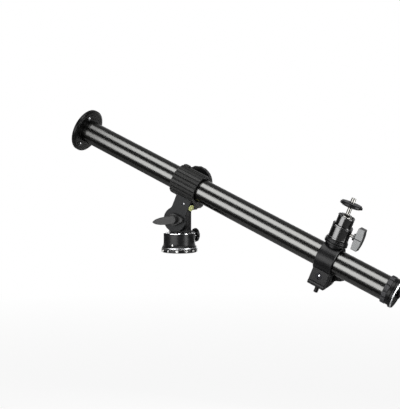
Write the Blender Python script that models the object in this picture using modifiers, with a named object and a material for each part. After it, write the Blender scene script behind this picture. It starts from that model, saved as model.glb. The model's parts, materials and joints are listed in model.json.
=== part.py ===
"""Tripod extension arm: a tube in a tilting clamp on a panning base, with a ring clamp and a small ball head.

World frame: +Z up, the origin at the centre of the base's bottom face, the arm in the XZ plane with its low
end towards +X. Pieces of the arm are written in the tube's own frame: X along the tube, Y away from the
front face, Z out of the tube's top.
"""
import math

import bmesh
import bpy
from mathutils import Matrix, Vector

MM = 0.001

# Clearances, and the usual breaks on edges
SEAT_GAP = 0.3 * MM
RUN_GAP = 0.25 * MM
FINE_BREAK = 0.4 * MM
BREAK = 0.6 * MM

# Base and pan
DIAL_RADIUS = 24.7 * MM
DIAL_THICKNESS = 5.2 * MM
DIAL_CHAMFER = 0.7 * MM
SPINDLE_RADIUS = 12.0 * MM
BUSH_RADIUS = 8.0 * MM
BUSH_BORE_RADIUS = 4.4 * MM
BUSH_DEPTH = 11.0 * MM
TRIM_RING_RADIUS = 24.3 * MM
TRIM_RING_WIDTH = 3.0 * MM
TRIM_RING_HEIGHT = 1.2 * MM
HOUSING_RADIUS = 21.7 * MM
HOUSING_HEIGHT = 19.6 * MM
HOUSING_ROOF = 2.0 * MM
HOUSING_EDGE = 0.9 * MM
FLARE_RADIUS = 23.7 * MM
FLARE_HEIGHT = 6.0 * MM
FLARE_STEPS = 5

# Pan lock, turned from the arm's direction by this angle
PAN_LOCK_ANGLE = math.radians(58.0)
PAN_LOCK_HEIGHT = 14.9 * MM
PAN_SCREW_RADIUS = 2.2 * MM
PAN_WASHER_RADIUS = 5.8 * MM
PAN_WASHER_THICKNESS = 1.0 * MM
PAN_KNOB_RADIUS = 9.6 * MM
PAN_KNOB_LENGTH = 5.8 * MM
PAN_KNOB_FLUTES = 12
PAN_KNOB_FLUTE_DEPTH = 0.9 * MM
PAN_KNOB_FACE_SHARE = 0.62
PAN_KNOB_FOOT_SHARE = 0.9
PAN_KNOB_CROWN_SHARE = 0.55
KNOB_SPARE = 1.02

# Knuckle and tilt hinge
HINGE_RISE = 18.5 * MM
BOSS_RADIUS = 17.0 * MM
CHEEK_FRONT = 14.0 * MM
CHEEK_THICKNESS = 9.2 * MM
TILT_WASHER_RADIUS = 13.0 * MM
TILT_WASHER_THICKNESS = 1.2 * MM
KNUCKLE_HALF_WIDTH = 13.5 * MM
KNUCKLE_THICKNESS = 12.0 * MM
KNUCKLE_RISE = 15.0 * MM
KNUCKLE_CORNER = 4.5 * MM
KNUCKLE_FOOT_SPREAD = 1.5 * MM
KNUCKLE_FOOT_HEIGHT = 3.0 * MM
BOLT_RADIUS = 4.0 * MM
BOLT_HEAD_RADIUS = 6.6 * MM
BOLT_HEAD_THICKNESS = 4.6 * MM
LEVER_HUB_RADIUS = 8.5 * MM
LEVER_BASE_THICKNESS = 5.0 * MM
LEVER_TAIL = 15.2 * MM
LEVER_TAIL_RADIUS = 3.8 * MM
LEVER_EDGE = 0.8 * MM
LEVER_REACH = 28.0 * MM
LEVER_ROOT_HEIGHT = 11.0 * MM
LEVER_DROOP = math.radians(-8.0)
LEVER_WING_THICKNESS = 7.5 * MM
LEVER_WING_EDGE = 1.4 * MM
LEVER_BORE_DEPTH = 6.0 * MM
# The leaf's edge from its root to near its tip, as shares of its reach and of half its root height
LEVER_LEAF = ((-0.11, 1.0), (0.18, 1.04), (0.55, 0.9), (0.8, 0.64), (0.95, 0.28))

# Arm
TILT = math.radians(24.0)
HINGE_TO_TUBE = 50.0 * MM
TUBE_RADIUS = 16.0 * MM
TUBE_WALL = 2.0 * MM
TUBE_HIGH_END = 185.6 * MM
TUBE_LOW_END = 301.0 * MM

# Bracket
NECK_LEFT = 11.0 * MM
NECK_RIGHT = 13.0 * MM
NECK_TOP = 34.0 * MM
NECK_FILLET = 9.0 * MM
BLOCK_MARGIN = 0.5 * MM
BLOCK_REAR = 13.0 * MM
BLOCK_BOTTOM = 20.0 * MM
BRACKET_EDGE = 0.7 * MM
NECK_SCREW_RADIUS = 2.6 * MM
NECK_SCREW_ALONG = 4.0 * MM
NECK_SCREW_HEIGHT = 25.6 * MM
NECK_SCREW_DEPTH = 5.0 * MM
LEVEL_RADIUS = 5.3 * MM
LEVEL_STEM_RADIUS = 3.6 * MM
LEVEL_TURN = math.radians(18.0)
LEVEL_INSET = 0.5 * MM
LEVEL_HEIGHT = 24.0 * MM
LEVEL_ACROSS = 7.8 * MM
LEVEL_DEPTH = 4.0 * MM
LEVEL_RIM = 2.0 * MM
LEVEL_BOSS_WALL = 0.7 * MM
VIAL_RADIUS = 4.3 * MM
VIAL_DEPTH = 0.8 * MM
VIAL_DOME = 0.5 * MM
THUMB_SCREW_RADIUS = 2.0 * MM
THUMB_SCREW_ALONG = 7.5 * MM
THUMB_SCREW_HEIGHT = 23.8 * MM
THUMB_SCREW_DEPTH = 8.0 * MM
THUMB_KNOB_RADIUS = 5.2 * MM
THUMB_KNOB_LENGTH = 15.0 * MM
THUMB_KNOB_CLEAR = 1.2 * MM
THUMB_KNOB_LOBES = 6
THUMB_KNOB_LOBE_DEPTH = 0.7 * MM

# Clamp collar round the tube
COLLAR_CENTRE = -4.2 * MM
COLLAR_LENGTH = 38.6 * MM
COLLAR_RADIUS = 21.0 * MM
COLLAR_RIBS = 24
RIB_DEPTH = 0.9 * MM
RIB_SHARE = 0.62
RIB_FOOT_SHARE = 0.22
LINER_WALL = 1.2 * MM
LINER_SLIT = 1.6 * MM
LINER_INSET = 1.0 * MM
COLLAR_LUG_START = 1.0 * MM
COLLAR_LUG_LENGTH = 9.0 * MM
COLLAR_LUG_WIDTH = 8.0 * MM
COLLAR_LUG_RISE = 2.0 * MM
COLLAR_LUG_EDGE = 1.6 * MM
TUBE_BOSS_RADIUS = 9.0 * MM
TUBE_BOSS_FACE = 23.6 * MM
TUBE_KNOB_ALONG = -9.5 * MM
TUBE_KNOB_RADIUS = 23.0 * MM
TUBE_KNOB_LENGTH = 16.4 * MM
TUBE_KNOB_FLUTES = 18
TUBE_KNOB_FLUTE_DEPTH = 1.0 * MM
# The knob's skirt ends, its dome starts and its hub stands proud at these shares of its length
TUBE_KNOB_SKIRT_SHARE = 0.26
TUBE_KNOB_DOME_SHARE = 0.36
TUBE_KNOB_HUB_SHARE = 0.16
TUBE_KNOB_SKIRT_TAPER = 0.94
TUBE_SCREW_RADIUS = 3.0 * MM

# Head flange on the high end
FLANGE_RADIUS = 31.0 * MM
FLANGE_THICKNESS = 6.0 * MM
FLANGE_EDGE = 1.2 * MM
FLANGE_EDGE_SPARE = 1.2
FLANGE_LIP = 2.4 * MM
FLANGE_LIP_WIDTH = 1.0 * MM
PLUG_LENGTH = 18.0 * MM
PLUG_WALL = 3.0 * MM
HEAD_STUD_RADIUS = 4.7 * MM
HEAD_STUD_LENGTH = 12.0 * MM
HEAD_STUD_SEAT = 5.4 * MM
FLANGE_SCREWS = 3
FLANGE_SCREW_CIRCLE = 22.5 * MM
FLANGE_SCREW_RADIUS = 2.4 * MM
FLANGE_SCREW_PROUD = 1.2 * MM
FLANGE_SCREW_SOCKET = 2.4 * MM

# Low end
GRIP_LENGTH = 6.0 * MM
GRIP_RADIUS = 18.2 * MM
GRIP_PADS = 14
GRIP_GROOVE = 0.9 * MM
GRIP_PAD_SHARE = 0.78
CAP_BAND_LENGTH = 4.4 * MM
CAP_BAND_RADIUS = 17.6 * MM
END_FLANGE_RADIUS = 19.2 * MM
END_FLANGE_THICKNESS = 4.4 * MM
END_FLANGE_EDGE = 1.4 * MM
END_SCREW_RADIUS = 3.0 * MM
END_SCREW_HEAD_RADIUS = 5.0 * MM
END_SCREW_HEAD_LENGTH = 3.0 * MM
END_SCREW_DEPTH = 14.0 * MM
LUG_HEIGHT = 15.0 * MM
LUG_LENGTH = 7.0 * MM
LUG_WIDTH = 5.0 * MM
LUG_THICKNESS = 5.6 * MM
LUG_HOLE_RADIUS = 1.4 * MM
LUG_PEG_RADIUS = 1.6 * MM
LUG_EDGE = 1.0 * MM

# Ring clamp
RING_ALONG = 214.6 * MM
RING_TURN = math.radians(5.0)
RING_LENGTH = 23.7 * MM
RING_WALL = 2.8 * MM
RING_LINER_WALL = 1.0 * MM
RING_LINER_INSET = 0.8 * MM
EAR_INSET = 0.6 * MM
PAD_NECK_RADIUS = 11.0 * MM
PAD_RADIUS = 15.2 * MM
PAD_THICKNESS = 2.2 * MM
PAD_RISE = 3.1 * MM
EAR_FRONT = 13.8 * MM
EAR_REAR = 9.0 * MM
EAR_DROP = 38.6 * MM
EAR_SLIT = 2.4 * MM
EAR_ROLL_RADIUS = 4.2 * MM
EAR_ROLL_PROUD = 0.8 * MM
EAR_GROOVE_RADIUS = 0.6 * MM
EAR_GROOVE_ANGLES = (200, 145)
CLAMP_SCREW_DROP = 23.0 * MM
CLAMP_SCREW_RADIUS = 2.2 * MM
CLAMP_HEAD_RADIUS = 4.2 * MM
CLAMP_HEAD_DEPTH = 3.4 * MM
CLAMP_SLOT_WIDTH = 1.2 * MM
CLAMP_SLOT_DEPTH = 1.5 * MM
STUB_RADIUS = 2.9 * MM
STUB_LENGTH = 7.5 * MM
STUB_SEAT = 3.0 * MM
STUB_FROM_END = 13.9 * MM
STUB_ACROSS = 7.5 * MM
CLAMP_STUD_RADIUS = 3.1 * MM
CLAMP_STUD_LENGTH = 7.0 * MM
CLAMP_STUD_SEAT = 3.0 * MM

# Star knob of the ring clamp: its lobes clear the band, so its hub is a long cone
STAR_RADIUS = 24.4 * MM
STAR_VALLEY_DEPTH = 9.4 * MM
STAR_LOBES = 4
STAR_TURN = math.radians(-86.0)
STAR_THICKNESS = 9.0 * MM
STAR_CROWN = 2.2 * MM
STAR_EDGE = 1.4 * MM
STAR_ROOT_RADIUS = 4.6 * MM
STAR_HUB_RADIUS = 8.6 * MM
STAR_SOCKET_DEPTH = 11.0 * MM

# Ball head
BALL_BASE_RADIUS = 15.0 * MM
BALL_BASE_THICKNESS = 2.4 * MM
BALL_STEP_RADIUS = 14.1 * MM
BALL_STEP_THICKNESS = 2.0 * MM
BALL_BODY_RADIUS = 13.4 * MM
BALL_BODY_LENGTH = 18.6 * MM
SOCKET_RADIUS = 11.0 * MM
SOCKET_LENGTH = 12.2 * MM
SOCKET_NOTCHES = 8
SOCKET_NOTCH_RADIUS = 1.5 * MM
SOCKET_MOUTH_RADIUS = 7.9 * MM
BALL_RADIUS = 8.2 * MM
BALL_DROP = 5.6 * MM
STEM_RADIUS = 2.8 * MM
STEM_CLEAR = 10.8 * MM
BALL_LEAN = (math.radians(-8.5), math.radians(-3.0), 0.0)
PLATFORM_RADIUS = 14.7 * MM
PLATFORM_THICKNESS = 5.2 * MM
PLATFORM_HUB_RADIUS = 5.9 * MM
PLATFORM_DISH_RADIUS = 11.8 * MM
PLATFORM_DISH_RISE = 1.0 * MM
PLATFORM_PAD_RADIUS = 13.1 * MM
PLATFORM_PAD_THICKNESS = 1.0 * MM
STUD_RADIUS = 3.1 * MM
STUD_LENGTH = 8.0 * MM
BALL_SCREW_HEIGHT = 11.0 * MM
BALL_SCREW_RADIUS = 2.1 * MM
BALL_SCREW_CLEAR = 4.4 * MM
BALL_SCREW_DEPTH = 6.0 * MM
PADDLE_HUB_RADIUS = 4.6 * MM
PADDLE_HUB_LENGTH = 2.6 * MM
PADDLE_LENGTH = 29.0 * MM
PADDLE_THICKNESS = 10.2 * MM
PADDLE_WIDTH = 10.0 * MM
PADDLE_BOW = 1.6 * MM
PADDLE_EDGE = 1.0 * MM
# One lobe of the paddle from its waist to its tip and back, as shares of half its length and of its bow
PADDLE_FRONT = ((0.45, 0.2), (1.0, 1.0))
PADDLE_BACK = ((1.0, 0.4), (0.4, 0.0))

# Facets
FINE = 36
MEDIUM = 24
SMALL = 12
BALL_ROWS = 14
EDGE_ANGLE = math.radians(40)
SMOOTH_ANGLE = math.radians(32)

# Heights worked out from the sizes above
TRIM_RING_BOTTOM = DIAL_THICKNESS + SEAT_GAP
HOUSING_BOTTOM = TRIM_RING_BOTTOM + TRIM_RING_HEIGHT + SEAT_GAP
HOUSING_TOP = HOUSING_BOTTOM + HOUSING_HEIGHT
SPINDLE_TOP = HOUSING_TOP - HOUSING_ROOF - SEAT_GAP
HINGE_HEIGHT = HOUSING_TOP + HINGE_RISE
CHEEK_BACK = CHEEK_FRONT - CHEEK_THICKNESS
KNUCKLE_FRONT = -(CHEEK_BACK - 2 * SEAT_GAP - TILT_WASHER_THICKNESS)
KNUCKLE_REAR = KNUCKLE_FRONT + KNUCKLE_THICKNESS
KNUCKLE_SWEEP = math.hypot(KNUCKLE_HALF_WIDTH, KNUCKLE_RISE) + SEAT_GAP
COLLAR_BORE = TUBE_RADIUS + RUN_GAP + LINER_WALL + SEAT_GAP
COLLAR_LOW = COLLAR_CENTRE - COLLAR_LENGTH / 2
RING_BORE = TUBE_RADIUS + RUN_GAP + RING_LINER_WALL + SEAT_GAP
RING_RADIUS = RING_BORE + RING_WALL
STAR_START = RING_RADIUS + SEAT_GAP
SLIT_TOP = -TUBE_RADIUS / 2
PAD_TOP = RING_RADIUS + PAD_RISE
BALL_BASE_BOTTOM = PAD_TOP + SEAT_GAP
BALL_BODY_BOTTOM = BALL_BASE_BOTTOM + BALL_BASE_THICKNESS + BALL_STEP_THICKNESS
SOCKET_BOTTOM = BALL_BODY_BOTTOM + SEAT_GAP + BALL_BODY_LENGTH
SOCKET_TOP = SOCKET_BOTTOM + SEAT_GAP + SOCKET_LENGTH
BALL_CENTRE = SOCKET_TOP - BALL_DROP
PLATFORM_BOTTOM = SOCKET_TOP + STEM_CLEAR
PLATFORM_TOP = PLATFORM_BOTTOM + PLATFORM_THICKNESS
GRIP_START = TUBE_LOW_END - GRIP_LENGTH
CAP_START = TUBE_LOW_END + SEAT_GAP
CAP_END = CAP_START + CAP_BAND_LENGTH
END_FLANGE_START = CAP_END + SEAT_GAP
END_FACE = END_FLANGE_START + END_FLANGE_THICKNESS

PARTS = "tripod_extension_arm"
CUTTERS = "cutters"


def clear_scene():
    """Empties the scene and makes the two collections."""
    for item in list(bpy.data.objects):
        bpy.data.objects.remove(item, do_unlink=True)
    for name in (PARTS, CUTTERS):
        collection = bpy.data.collections.get(name) or bpy.data.collections.new(name)
        if name not in bpy.context.scene.collection.children:
            bpy.context.scene.collection.children.link(collection)


def srgb(hex_colour):
    """Turns a hex colour into the linear values that a shader takes."""
    values = [int(hex_colour[i:i + 2], 16) / 255 for i in (1, 3, 5)]
    return [v / 12.92 if v <= 0.04045 else ((v + 0.055) / 1.055) ** 2.4 for v in values] + [1.0]


def finish(name, colour, roughness, metallic=0.0):
    """Makes a Principled material."""
    material = bpy.data.materials.new(name)
    material.use_nodes = True
    shader = material.node_tree.nodes["Principled BSDF"]
    shader.inputs["Base Color"].default_value = srgb(colour)
    shader.inputs["Roughness"].default_value = roughness
    shader.inputs["Metallic"].default_value = metallic
    return material


# Building blocks
def frame(name, parent=None, location=(0, 0, 0), rotation=(0, 0, 0)):
    """An empty that carries the pieces that share a joint axis."""
    empty = bpy.data.objects.new(name, None)
    empty.empty_display_size = 0.01
    empty.parent = parent
    empty.location = location
    empty.rotation_euler = rotation
    bpy.data.collections[PARTS].objects.link(empty)
    return empty


def add_object(name, mesh, parent, material=None, location=(0, 0, 0), rotation=(0, 0, 0)):
    """Puts a mesh or curve in the parts, or among the cutters where it has no material."""
    piece = bpy.data.objects.new(name, mesh)
    piece.parent = parent
    piece.location = location
    piece.rotation_euler = rotation
    if material is None:
        piece.hide_render = True
        piece.display_type = "WIRE"
        bpy.data.collections[CUTTERS].objects.link(piece)
    else:
        mesh.materials.append(material)
        bpy.data.collections[PARTS].objects.link(piece)
    return piece


def mesh_of(name, shape):
    """Closes a bmesh into a mesh, with its faces smooth up to a sharp edge."""
    mesh = bpy.data.meshes.new(name)
    shape.to_mesh(mesh)
    shape.free()
    mesh.shade_smooth()
    mesh.set_sharp_from_angle(angle=SMOOTH_ANGLE)
    return mesh


AXIS_TURN = {"X": (0, math.pi / 2, 0), "Y": (-math.pi / 2, 0, 0), "Z": (0, 0, 0)}


def box(name, low, high, parent, material=None, bevel=0.0, segments=2):
    """A box between two corners, with rounded edges where bevel is given."""
    shape = bmesh.new()
    size = [b - a for a, b in zip(low, high)]
    centre = [(a + b) / 2 for a, b in zip(low, high)]
    bmesh.ops.create_cube(shape, size=1.0, matrix=Matrix.Diagonal((*size, 1.0)))
    piece = add_object(name, mesh_of(name, shape), parent, material, centre)
    if bevel:
        round_edges(piece, bevel, segments)
    return piece


def rod(name, radius, start, length, axis, parent, material=None, steps=SMALL, bevel=0.0, tip_radius=None):
    """A round bar or cone from start along an axis."""
    shape = bmesh.new()
    lift = Matrix.Translation((0, 0, length / 2))
    tip = radius if tip_radius is None else tip_radius
    bmesh.ops.create_cone(shape, cap_ends=True, segments=steps, radius1=radius, radius2=tip, depth=length,
                          matrix=lift)
    piece = add_object(name, mesh_of(name, shape), parent, material, start, AXIS_TURN[axis])
    if bevel:
        round_edges(piece, bevel, 1)
    return piece


def turned(name, profile, parent, material=None, start=(0, 0, 0), axis="Z", steps=MEDIUM):
    """A turned piece. The profile is (radius, height) points, down the outer side and back up the inner."""
    mesh = bpy.data.meshes.new(name)
    closed = profile[0][0] > 0 or profile[-1][0] > 0
    edges = [(i, i + 1) for i in range(len(profile) - 1)]
    if closed:
        edges.append((len(profile) - 1, 0))
    mesh.from_pydata([(r, 0, z) for r, z in profile], edges, [])
    piece = add_object(name, mesh, parent, material, start, AXIS_TURN[axis])
    screw = piece.modifiers.new("turn", "SCREW")
    screw.axis = "Z"
    screw.steps = steps
    screw.render_steps = steps
    screw.use_merge_vertices = True
    screw.merge_threshold = 0.00001
    screw.use_smooth_shade = False
    return piece


def outline(name, points, start, thickness, axis, parent, material=None, bevel=0.0, spin=0.0):
    """A flat outline given thickness along an axis, as a welded mesh."""
    curve = bpy.data.curves.new(name, "CURVE")
    curve.dimensions = "2D"
    curve.fill_mode = "BOTH"
    curve.extrude = thickness / 2
    spline = curve.splines.new("POLY")
    spline.points.add(len(points) - 1)
    for point, (x, y) in zip(spline.points, points):
        point.co = (x, y, 0, 1)
    spline.use_cyclic_u = True
    drawn = bpy.data.objects.new(name + "_curve", curve)
    bpy.context.scene.collection.objects.link(drawn)
    bpy.context.view_layer.update()
    solid = bpy.data.meshes.new_from_object(drawn.evaluated_get(bpy.context.evaluated_depsgraph_get()))
    bpy.data.objects.remove(drawn, do_unlink=True)
    shape = bmesh.new()
    shape.from_mesh(solid)
    bmesh.ops.remove_doubles(shape, verts=shape.verts, dist=0.000001)
    bmesh.ops.rotate(shape, verts=shape.verts, cent=(0, 0, 0), matrix=Matrix.Rotation(spin, 3, "Z"))
    bmesh.ops.translate(shape, verts=shape.verts, vec=(0, 0, thickness / 2))
    piece = add_object(name, mesh_of(name, shape), parent, material, start, AXIS_TURN[axis])
    if bevel:
        round_edges(piece, bevel, 1)
    return piece


def round_edges(piece, width, segments=2):
    """Rounds the sharp edges of a piece."""
    bevel = piece.modifiers.new("round", "BEVEL")
    bevel.width = width
    bevel.segments = segments
    bevel.limit_method = "ANGLE"
    bevel.angle_limit = EDGE_ANGLE


def boolean(piece, other, operation):
    """Cuts a piece with another, or joins the other to it."""
    modifier = piece.modifiers.new(operation.lower(), "BOOLEAN")
    modifier.operation = operation
    modifier.solver = "EXACT"
    modifier.object = other


def cut(piece, *cutters):
    """Takes each cutter out of a piece."""
    for cutter in cutters:
        boolean(piece, cutter, "DIFFERENCE")


def join(piece, *others):
    """Joins other shapes to a piece."""
    for other in others:
        boolean(piece, other, "UNION")


def arc(radius, start, end, steps, centre=(0.0, 0.0)):
    """Points along an arc, both ends included, angles in degrees."""
    points = []
    for i in range(steps + 1):
        angle = math.radians(start + (end - start) * i / steps)
        points.append((centre[0] + radius * math.cos(angle), centre[1] + radius * math.sin(angle)))
    return points


def ribbed_circle(radius, depth, ribs, share):
    """A circle with ribs: each rib is a raised run that takes its share of the pitch."""
    points = []
    pitch = 2 * math.pi / ribs
    for i in range(ribs):
        for offset, lift in ((-share / 2, 0), (share / 2, 0), (0.5 - (1 - share) * RIB_FOOT_SHARE, depth),
                             (0.5 + (1 - share) * RIB_FOOT_SHARE, depth)):
            angle = (i + offset) * pitch
            points.append(((radius - lift) * math.cos(angle), (radius - lift) * math.sin(angle)))
    return points


def fluted_circle(radius, depth, flutes, steps=4):
    """A circle with round flutes cut into it."""
    points = []
    for i in range(flutes * steps):
        angle = 2 * math.pi * i / (flutes * steps)
        wave = 0.5 - 0.5 * math.cos(flutes * angle)
        points.append(((radius - depth * wave) * math.cos(angle),
                       (radius - depth * wave) * math.sin(angle)))
    return points


def hexagon(radius):
    """The six corners of a nut or a hex socket."""
    return arc(radius, 0, 300, 5)


# Base, fixed to the tripod
def build_base(finishes):
    """The dial with its spindle, the threaded bush and the bright trim ring."""
    turned("dial_disc", [
        (0, SPINDLE_TOP), (SPINDLE_RADIUS - DIAL_CHAMFER, SPINDLE_TOP),
        (SPINDLE_RADIUS, SPINDLE_TOP - DIAL_CHAMFER), (SPINDLE_RADIUS, DIAL_THICKNESS),
        (DIAL_RADIUS - DIAL_CHAMFER, DIAL_THICKNESS), (DIAL_RADIUS, DIAL_THICKNESS - DIAL_CHAMFER),
        (DIAL_RADIUS, DIAL_CHAMFER), (DIAL_RADIUS - DIAL_CHAMFER, 0),
        (BUSH_RADIUS + SEAT_GAP, 0), (BUSH_RADIUS + SEAT_GAP, BUSH_DEPTH + SEAT_GAP),
        (0, BUSH_DEPTH + SEAT_GAP)], None, finishes["black_anodised"], steps=FINE)
    turned("base_thread_bush", [
        (BUSH_RADIUS, BUSH_DEPTH), (BUSH_RADIUS, DIAL_CHAMFER),
        (BUSH_BORE_RADIUS + DIAL_CHAMFER, DIAL_CHAMFER),
        (BUSH_BORE_RADIUS, 2 * DIAL_CHAMFER), (BUSH_BORE_RADIUS, BUSH_DEPTH)], None, finishes["steel"],
        steps=SMALL)
    ring_top = TRIM_RING_BOTTOM + TRIM_RING_HEIGHT
    bevel = TRIM_RING_HEIGHT / 2
    turned("dial_trim_ring", [
        (TRIM_RING_RADIUS - bevel, ring_top), (TRIM_RING_RADIUS, ring_top - bevel),
        (TRIM_RING_RADIUS, TRIM_RING_BOTTOM), (TRIM_RING_RADIUS - TRIM_RING_WIDTH, TRIM_RING_BOTTOM),
        (TRIM_RING_RADIUS - TRIM_RING_WIDTH, ring_top)], None, finishes["bright_aluminium"], steps=FINE)


# Pan body
def build_pan(finishes):
    """The housing that turns on the spindle, its knuckle, and the tilt bolt."""
    pan = frame("pan_axis")
    flare = []
    for radius, height in arc(1.0, 0, 90, FLARE_STEPS):
        out = HOUSING_RADIUS + (FLARE_RADIUS - HOUSING_RADIUS) * (1 - radius)
        flare.append((out, HOUSING_BOTTOM + HOUSING_EDGE + FLARE_HEIGHT * (1 - height)))
    bore = SPINDLE_RADIUS + RUN_GAP
    housing = turned("pan_housing", [
        (0, HOUSING_TOP), (HOUSING_RADIUS - HOUSING_EDGE, HOUSING_TOP),
        (HOUSING_RADIUS, HOUSING_TOP - HOUSING_EDGE)] + flare + [
        (FLARE_RADIUS, HOUSING_BOTTOM), (bore, HOUSING_BOTTOM),
        (bore, SPINDLE_TOP + SEAT_GAP), (0, SPINDLE_TOP + SEAT_GAP)], pan, finishes["black_satin"],
        steps=FINE)
    lock = frame("pan_lock_axis", pan, (0, 0, HOUSING_BOTTOM + PAN_LOCK_HEIGHT), (0, 0, PAN_LOCK_ANGLE))
    cut(housing, rod("pan_lock_bore", PAN_SCREW_RADIUS + SEAT_GAP, (SPINDLE_RADIUS / 2, 0, 0),
                     HOUSING_RADIUS, "X", lock))
    build_pan_lock(lock, finishes)
    build_knuckle(pan, finishes)
    return pan


def build_pan_lock(lock, finishes):
    """The fluted pan lock knob with its washer and screw, on a radial axis."""
    washer_start = HOUSING_RADIUS + SEAT_GAP
    washer_end = washer_start + PAN_WASHER_THICKNESS
    screw_start = SPINDLE_RADIUS + RUN_GAP
    knob_start = washer_end + SEAT_GAP
    socket_depth = PAN_KNOB_LENGTH / 2
    rod("pan_lock_screw", PAN_SCREW_RADIUS, (screw_start, 0, 0),
        knob_start + socket_depth - SEAT_GAP - screw_start,
        "X", lock, finishes["steel"])
    turned("pan_lock_washer", [
        (PAN_WASHER_RADIUS, PAN_WASHER_THICKNESS), (PAN_WASHER_RADIUS, 0),
        (PAN_SCREW_RADIUS + RUN_GAP, 0), (PAN_SCREW_RADIUS + RUN_GAP, PAN_WASHER_THICKNESS)],
        lock, finishes["bright_aluminium"], (washer_start, 0, 0), "X", SMALL)
    knob = outline("pan_lock_knob", fluted_circle(PAN_KNOB_RADIUS, PAN_KNOB_FLUTE_DEPTH, PAN_KNOB_FLUTES),
                   (knob_start, 0, 0), PAN_KNOB_LENGTH, "X", lock, finishes["black_plastic"])
    wide = PAN_KNOB_RADIUS * KNOB_SPARE
    crown = turned("pan_lock_crown", [
        (0, PAN_KNOB_LENGTH + SEAT_GAP), (PAN_KNOB_RADIUS * PAN_KNOB_FACE_SHARE, PAN_KNOB_LENGTH),
        (wide, PAN_KNOB_LENGTH * PAN_KNOB_CROWN_SHARE), (wide, BREAK),
        (PAN_KNOB_RADIUS * PAN_KNOB_FOOT_SHARE, -SEAT_GAP), (0, -SEAT_GAP)], lock, None, (knob_start, 0, 0),
        "X",
        MEDIUM)
    boolean(knob, crown, "INTERSECT")
    cut(knob, rod("pan_lock_socket", PAN_SCREW_RADIUS + SEAT_GAP, (knob_start - SEAT_GAP, 0, 0),
                  socket_depth + SEAT_GAP, "X", lock))


def build_knuckle(pan, finishes):
    """The post that carries the tilt hinge, its bolt and the friction washer."""
    foot = HOUSING_TOP + SEAT_GAP
    half = KNUCKLE_HALF_WIDTH
    wide = half + KNUCKLE_FOOT_SPREAD
    top = HINGE_HEIGHT + KNUCKLE_RISE
    corner = KNUCKLE_CORNER
    side = [(wide, foot), (wide, foot + KNUCKLE_FOOT_HEIGHT / 2), (half, foot + KNUCKLE_FOOT_HEIGHT)]
    side += arc(corner, 0, 90, 5, (half - corner, top - corner))
    points = side + [(-x, z) for x, z in reversed(side)]
    post = outline("pan_knuckle", [(x, -z) for x, z in points], (0, KNUCKLE_FRONT, 0), KNUCKLE_THICKNESS,
                   "Y", pan,
                   finishes["black_satin"])
    hinge = frame("hinge_bolt_axis", pan, (0, 0, HINGE_HEIGHT))
    cut(post, rod("knuckle_bore", BOLT_RADIUS + SEAT_GAP, (0, KNUCKLE_FRONT - SEAT_GAP, 0),
                  KNUCKLE_THICKNESS + 2 * SEAT_GAP, "Y", hinge))
    bolt_start = -CHEEK_FRONT - LEVER_BORE_DEPTH + 2 * SEAT_GAP
    head_start = KNUCKLE_REAR + SEAT_GAP
    bolt = rod("tilt_bolt", BOLT_RADIUS, (0, bolt_start, 0),
               head_start - bolt_start + BOLT_HEAD_THICKNESS / 2, "Y",
               hinge, finishes["steel"], SMALL)
    join(bolt, outline("tilt_bolt_head", hexagon(BOLT_HEAD_RADIUS), (0, head_start, 0), BOLT_HEAD_THICKNESS,
                       "Y",
                       hinge))
    washer_start = -CHEEK_BACK + SEAT_GAP
    turned("tilt_washer", [
        (TILT_WASHER_RADIUS, TILT_WASHER_THICKNESS), (TILT_WASHER_RADIUS, 0),
        (BOLT_RADIUS + RUN_GAP, 0), (BOLT_RADIUS + RUN_GAP, TILT_WASHER_THICKNESS)],
        hinge, finishes["black_plastic"], (0, washer_start, 0), "Y")
    build_tilt_lever(hinge, finishes)


def build_tilt_lever(hinge, finishes):
    """The tilt lock: an oval hub with a short tail and one leaf-shaped wing."""
    base_front = -CHEEK_FRONT - SEAT_GAP
    oval = arc(LEVER_HUB_RADIUS, 60, 300, 12)
    oval += arc(LEVER_TAIL_RADIUS, -45, 45, 3, (LEVER_TAIL - LEVER_TAIL_RADIUS, 0))
    lever = outline("tilt_lever", oval, (0, base_front - LEVER_BASE_THICKNESS, 0), LEVER_BASE_THICKNESS,
                    "Y", hinge,
                    finishes["dark_casting"], LEVER_EDGE)
    half = LEVER_ROOT_HEIGHT / 2
    edge = [(-LEVER_REACH * along, half * across) for along, across in LEVER_LEAF]
    leaf = edge + [(-LEVER_REACH, 0)] + [(x, -y) for x, y in reversed(edge)]
    leaf += arc(half, -60, 60, 6, (LEVER_HUB_RADIUS - half, 0))
    wing_start = base_front - LEVER_BASE_THICKNESS - LEVER_WING_THICKNESS + SEAT_GAP
    wing = outline("tilt_lever_wing", leaf, (0, wing_start, 0), LEVER_WING_THICKNESS, "Y", hinge, None,
                   LEVER_WING_EDGE, LEVER_DROOP)
    join(lever, wing)
    cut(lever, rod("tilt_lever_bore", BOLT_RADIUS + SEAT_GAP, (0, base_front - LEVER_BORE_DEPTH, 0),
                   LEVER_BORE_DEPTH + SEAT_GAP, "Y", hinge))


# Arm bracket, in the frame of the tilted arm with its zero on the hinge
def neck_fillet(half_width):
    """The centre of the fillet between the boss and one side of the neck, and the angle at which it starts."""
    reach = BOSS_RADIUS + NECK_FILLET
    blend = math.asin((half_width + NECK_FILLET) / reach)
    return (half_width + NECK_FILLET, reach * math.cos(blend)), math.degrees(blend)


def bracket_outline():
    """The front plate: the round boss, the neck, and the fillets between them."""
    right_centre, right_blend = neck_fillet(NECK_RIGHT)
    left_centre, left_blend = neck_fillet(NECK_LEFT)
    boss = arc(BOSS_RADIUS, 90 + left_blend, 450 - right_blend, 28)
    right = arc(NECK_FILLET, 270 - right_blend, 180, 5, right_centre)[1:]
    left = [(-x, z) for x, z in reversed(arc(NECK_FILLET, 270 - left_blend, 180, 5, left_centre)[1:])]
    return boss + right + [(NECK_RIGHT, NECK_TOP), (-NECK_LEFT, NECK_TOP)] + left


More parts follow.
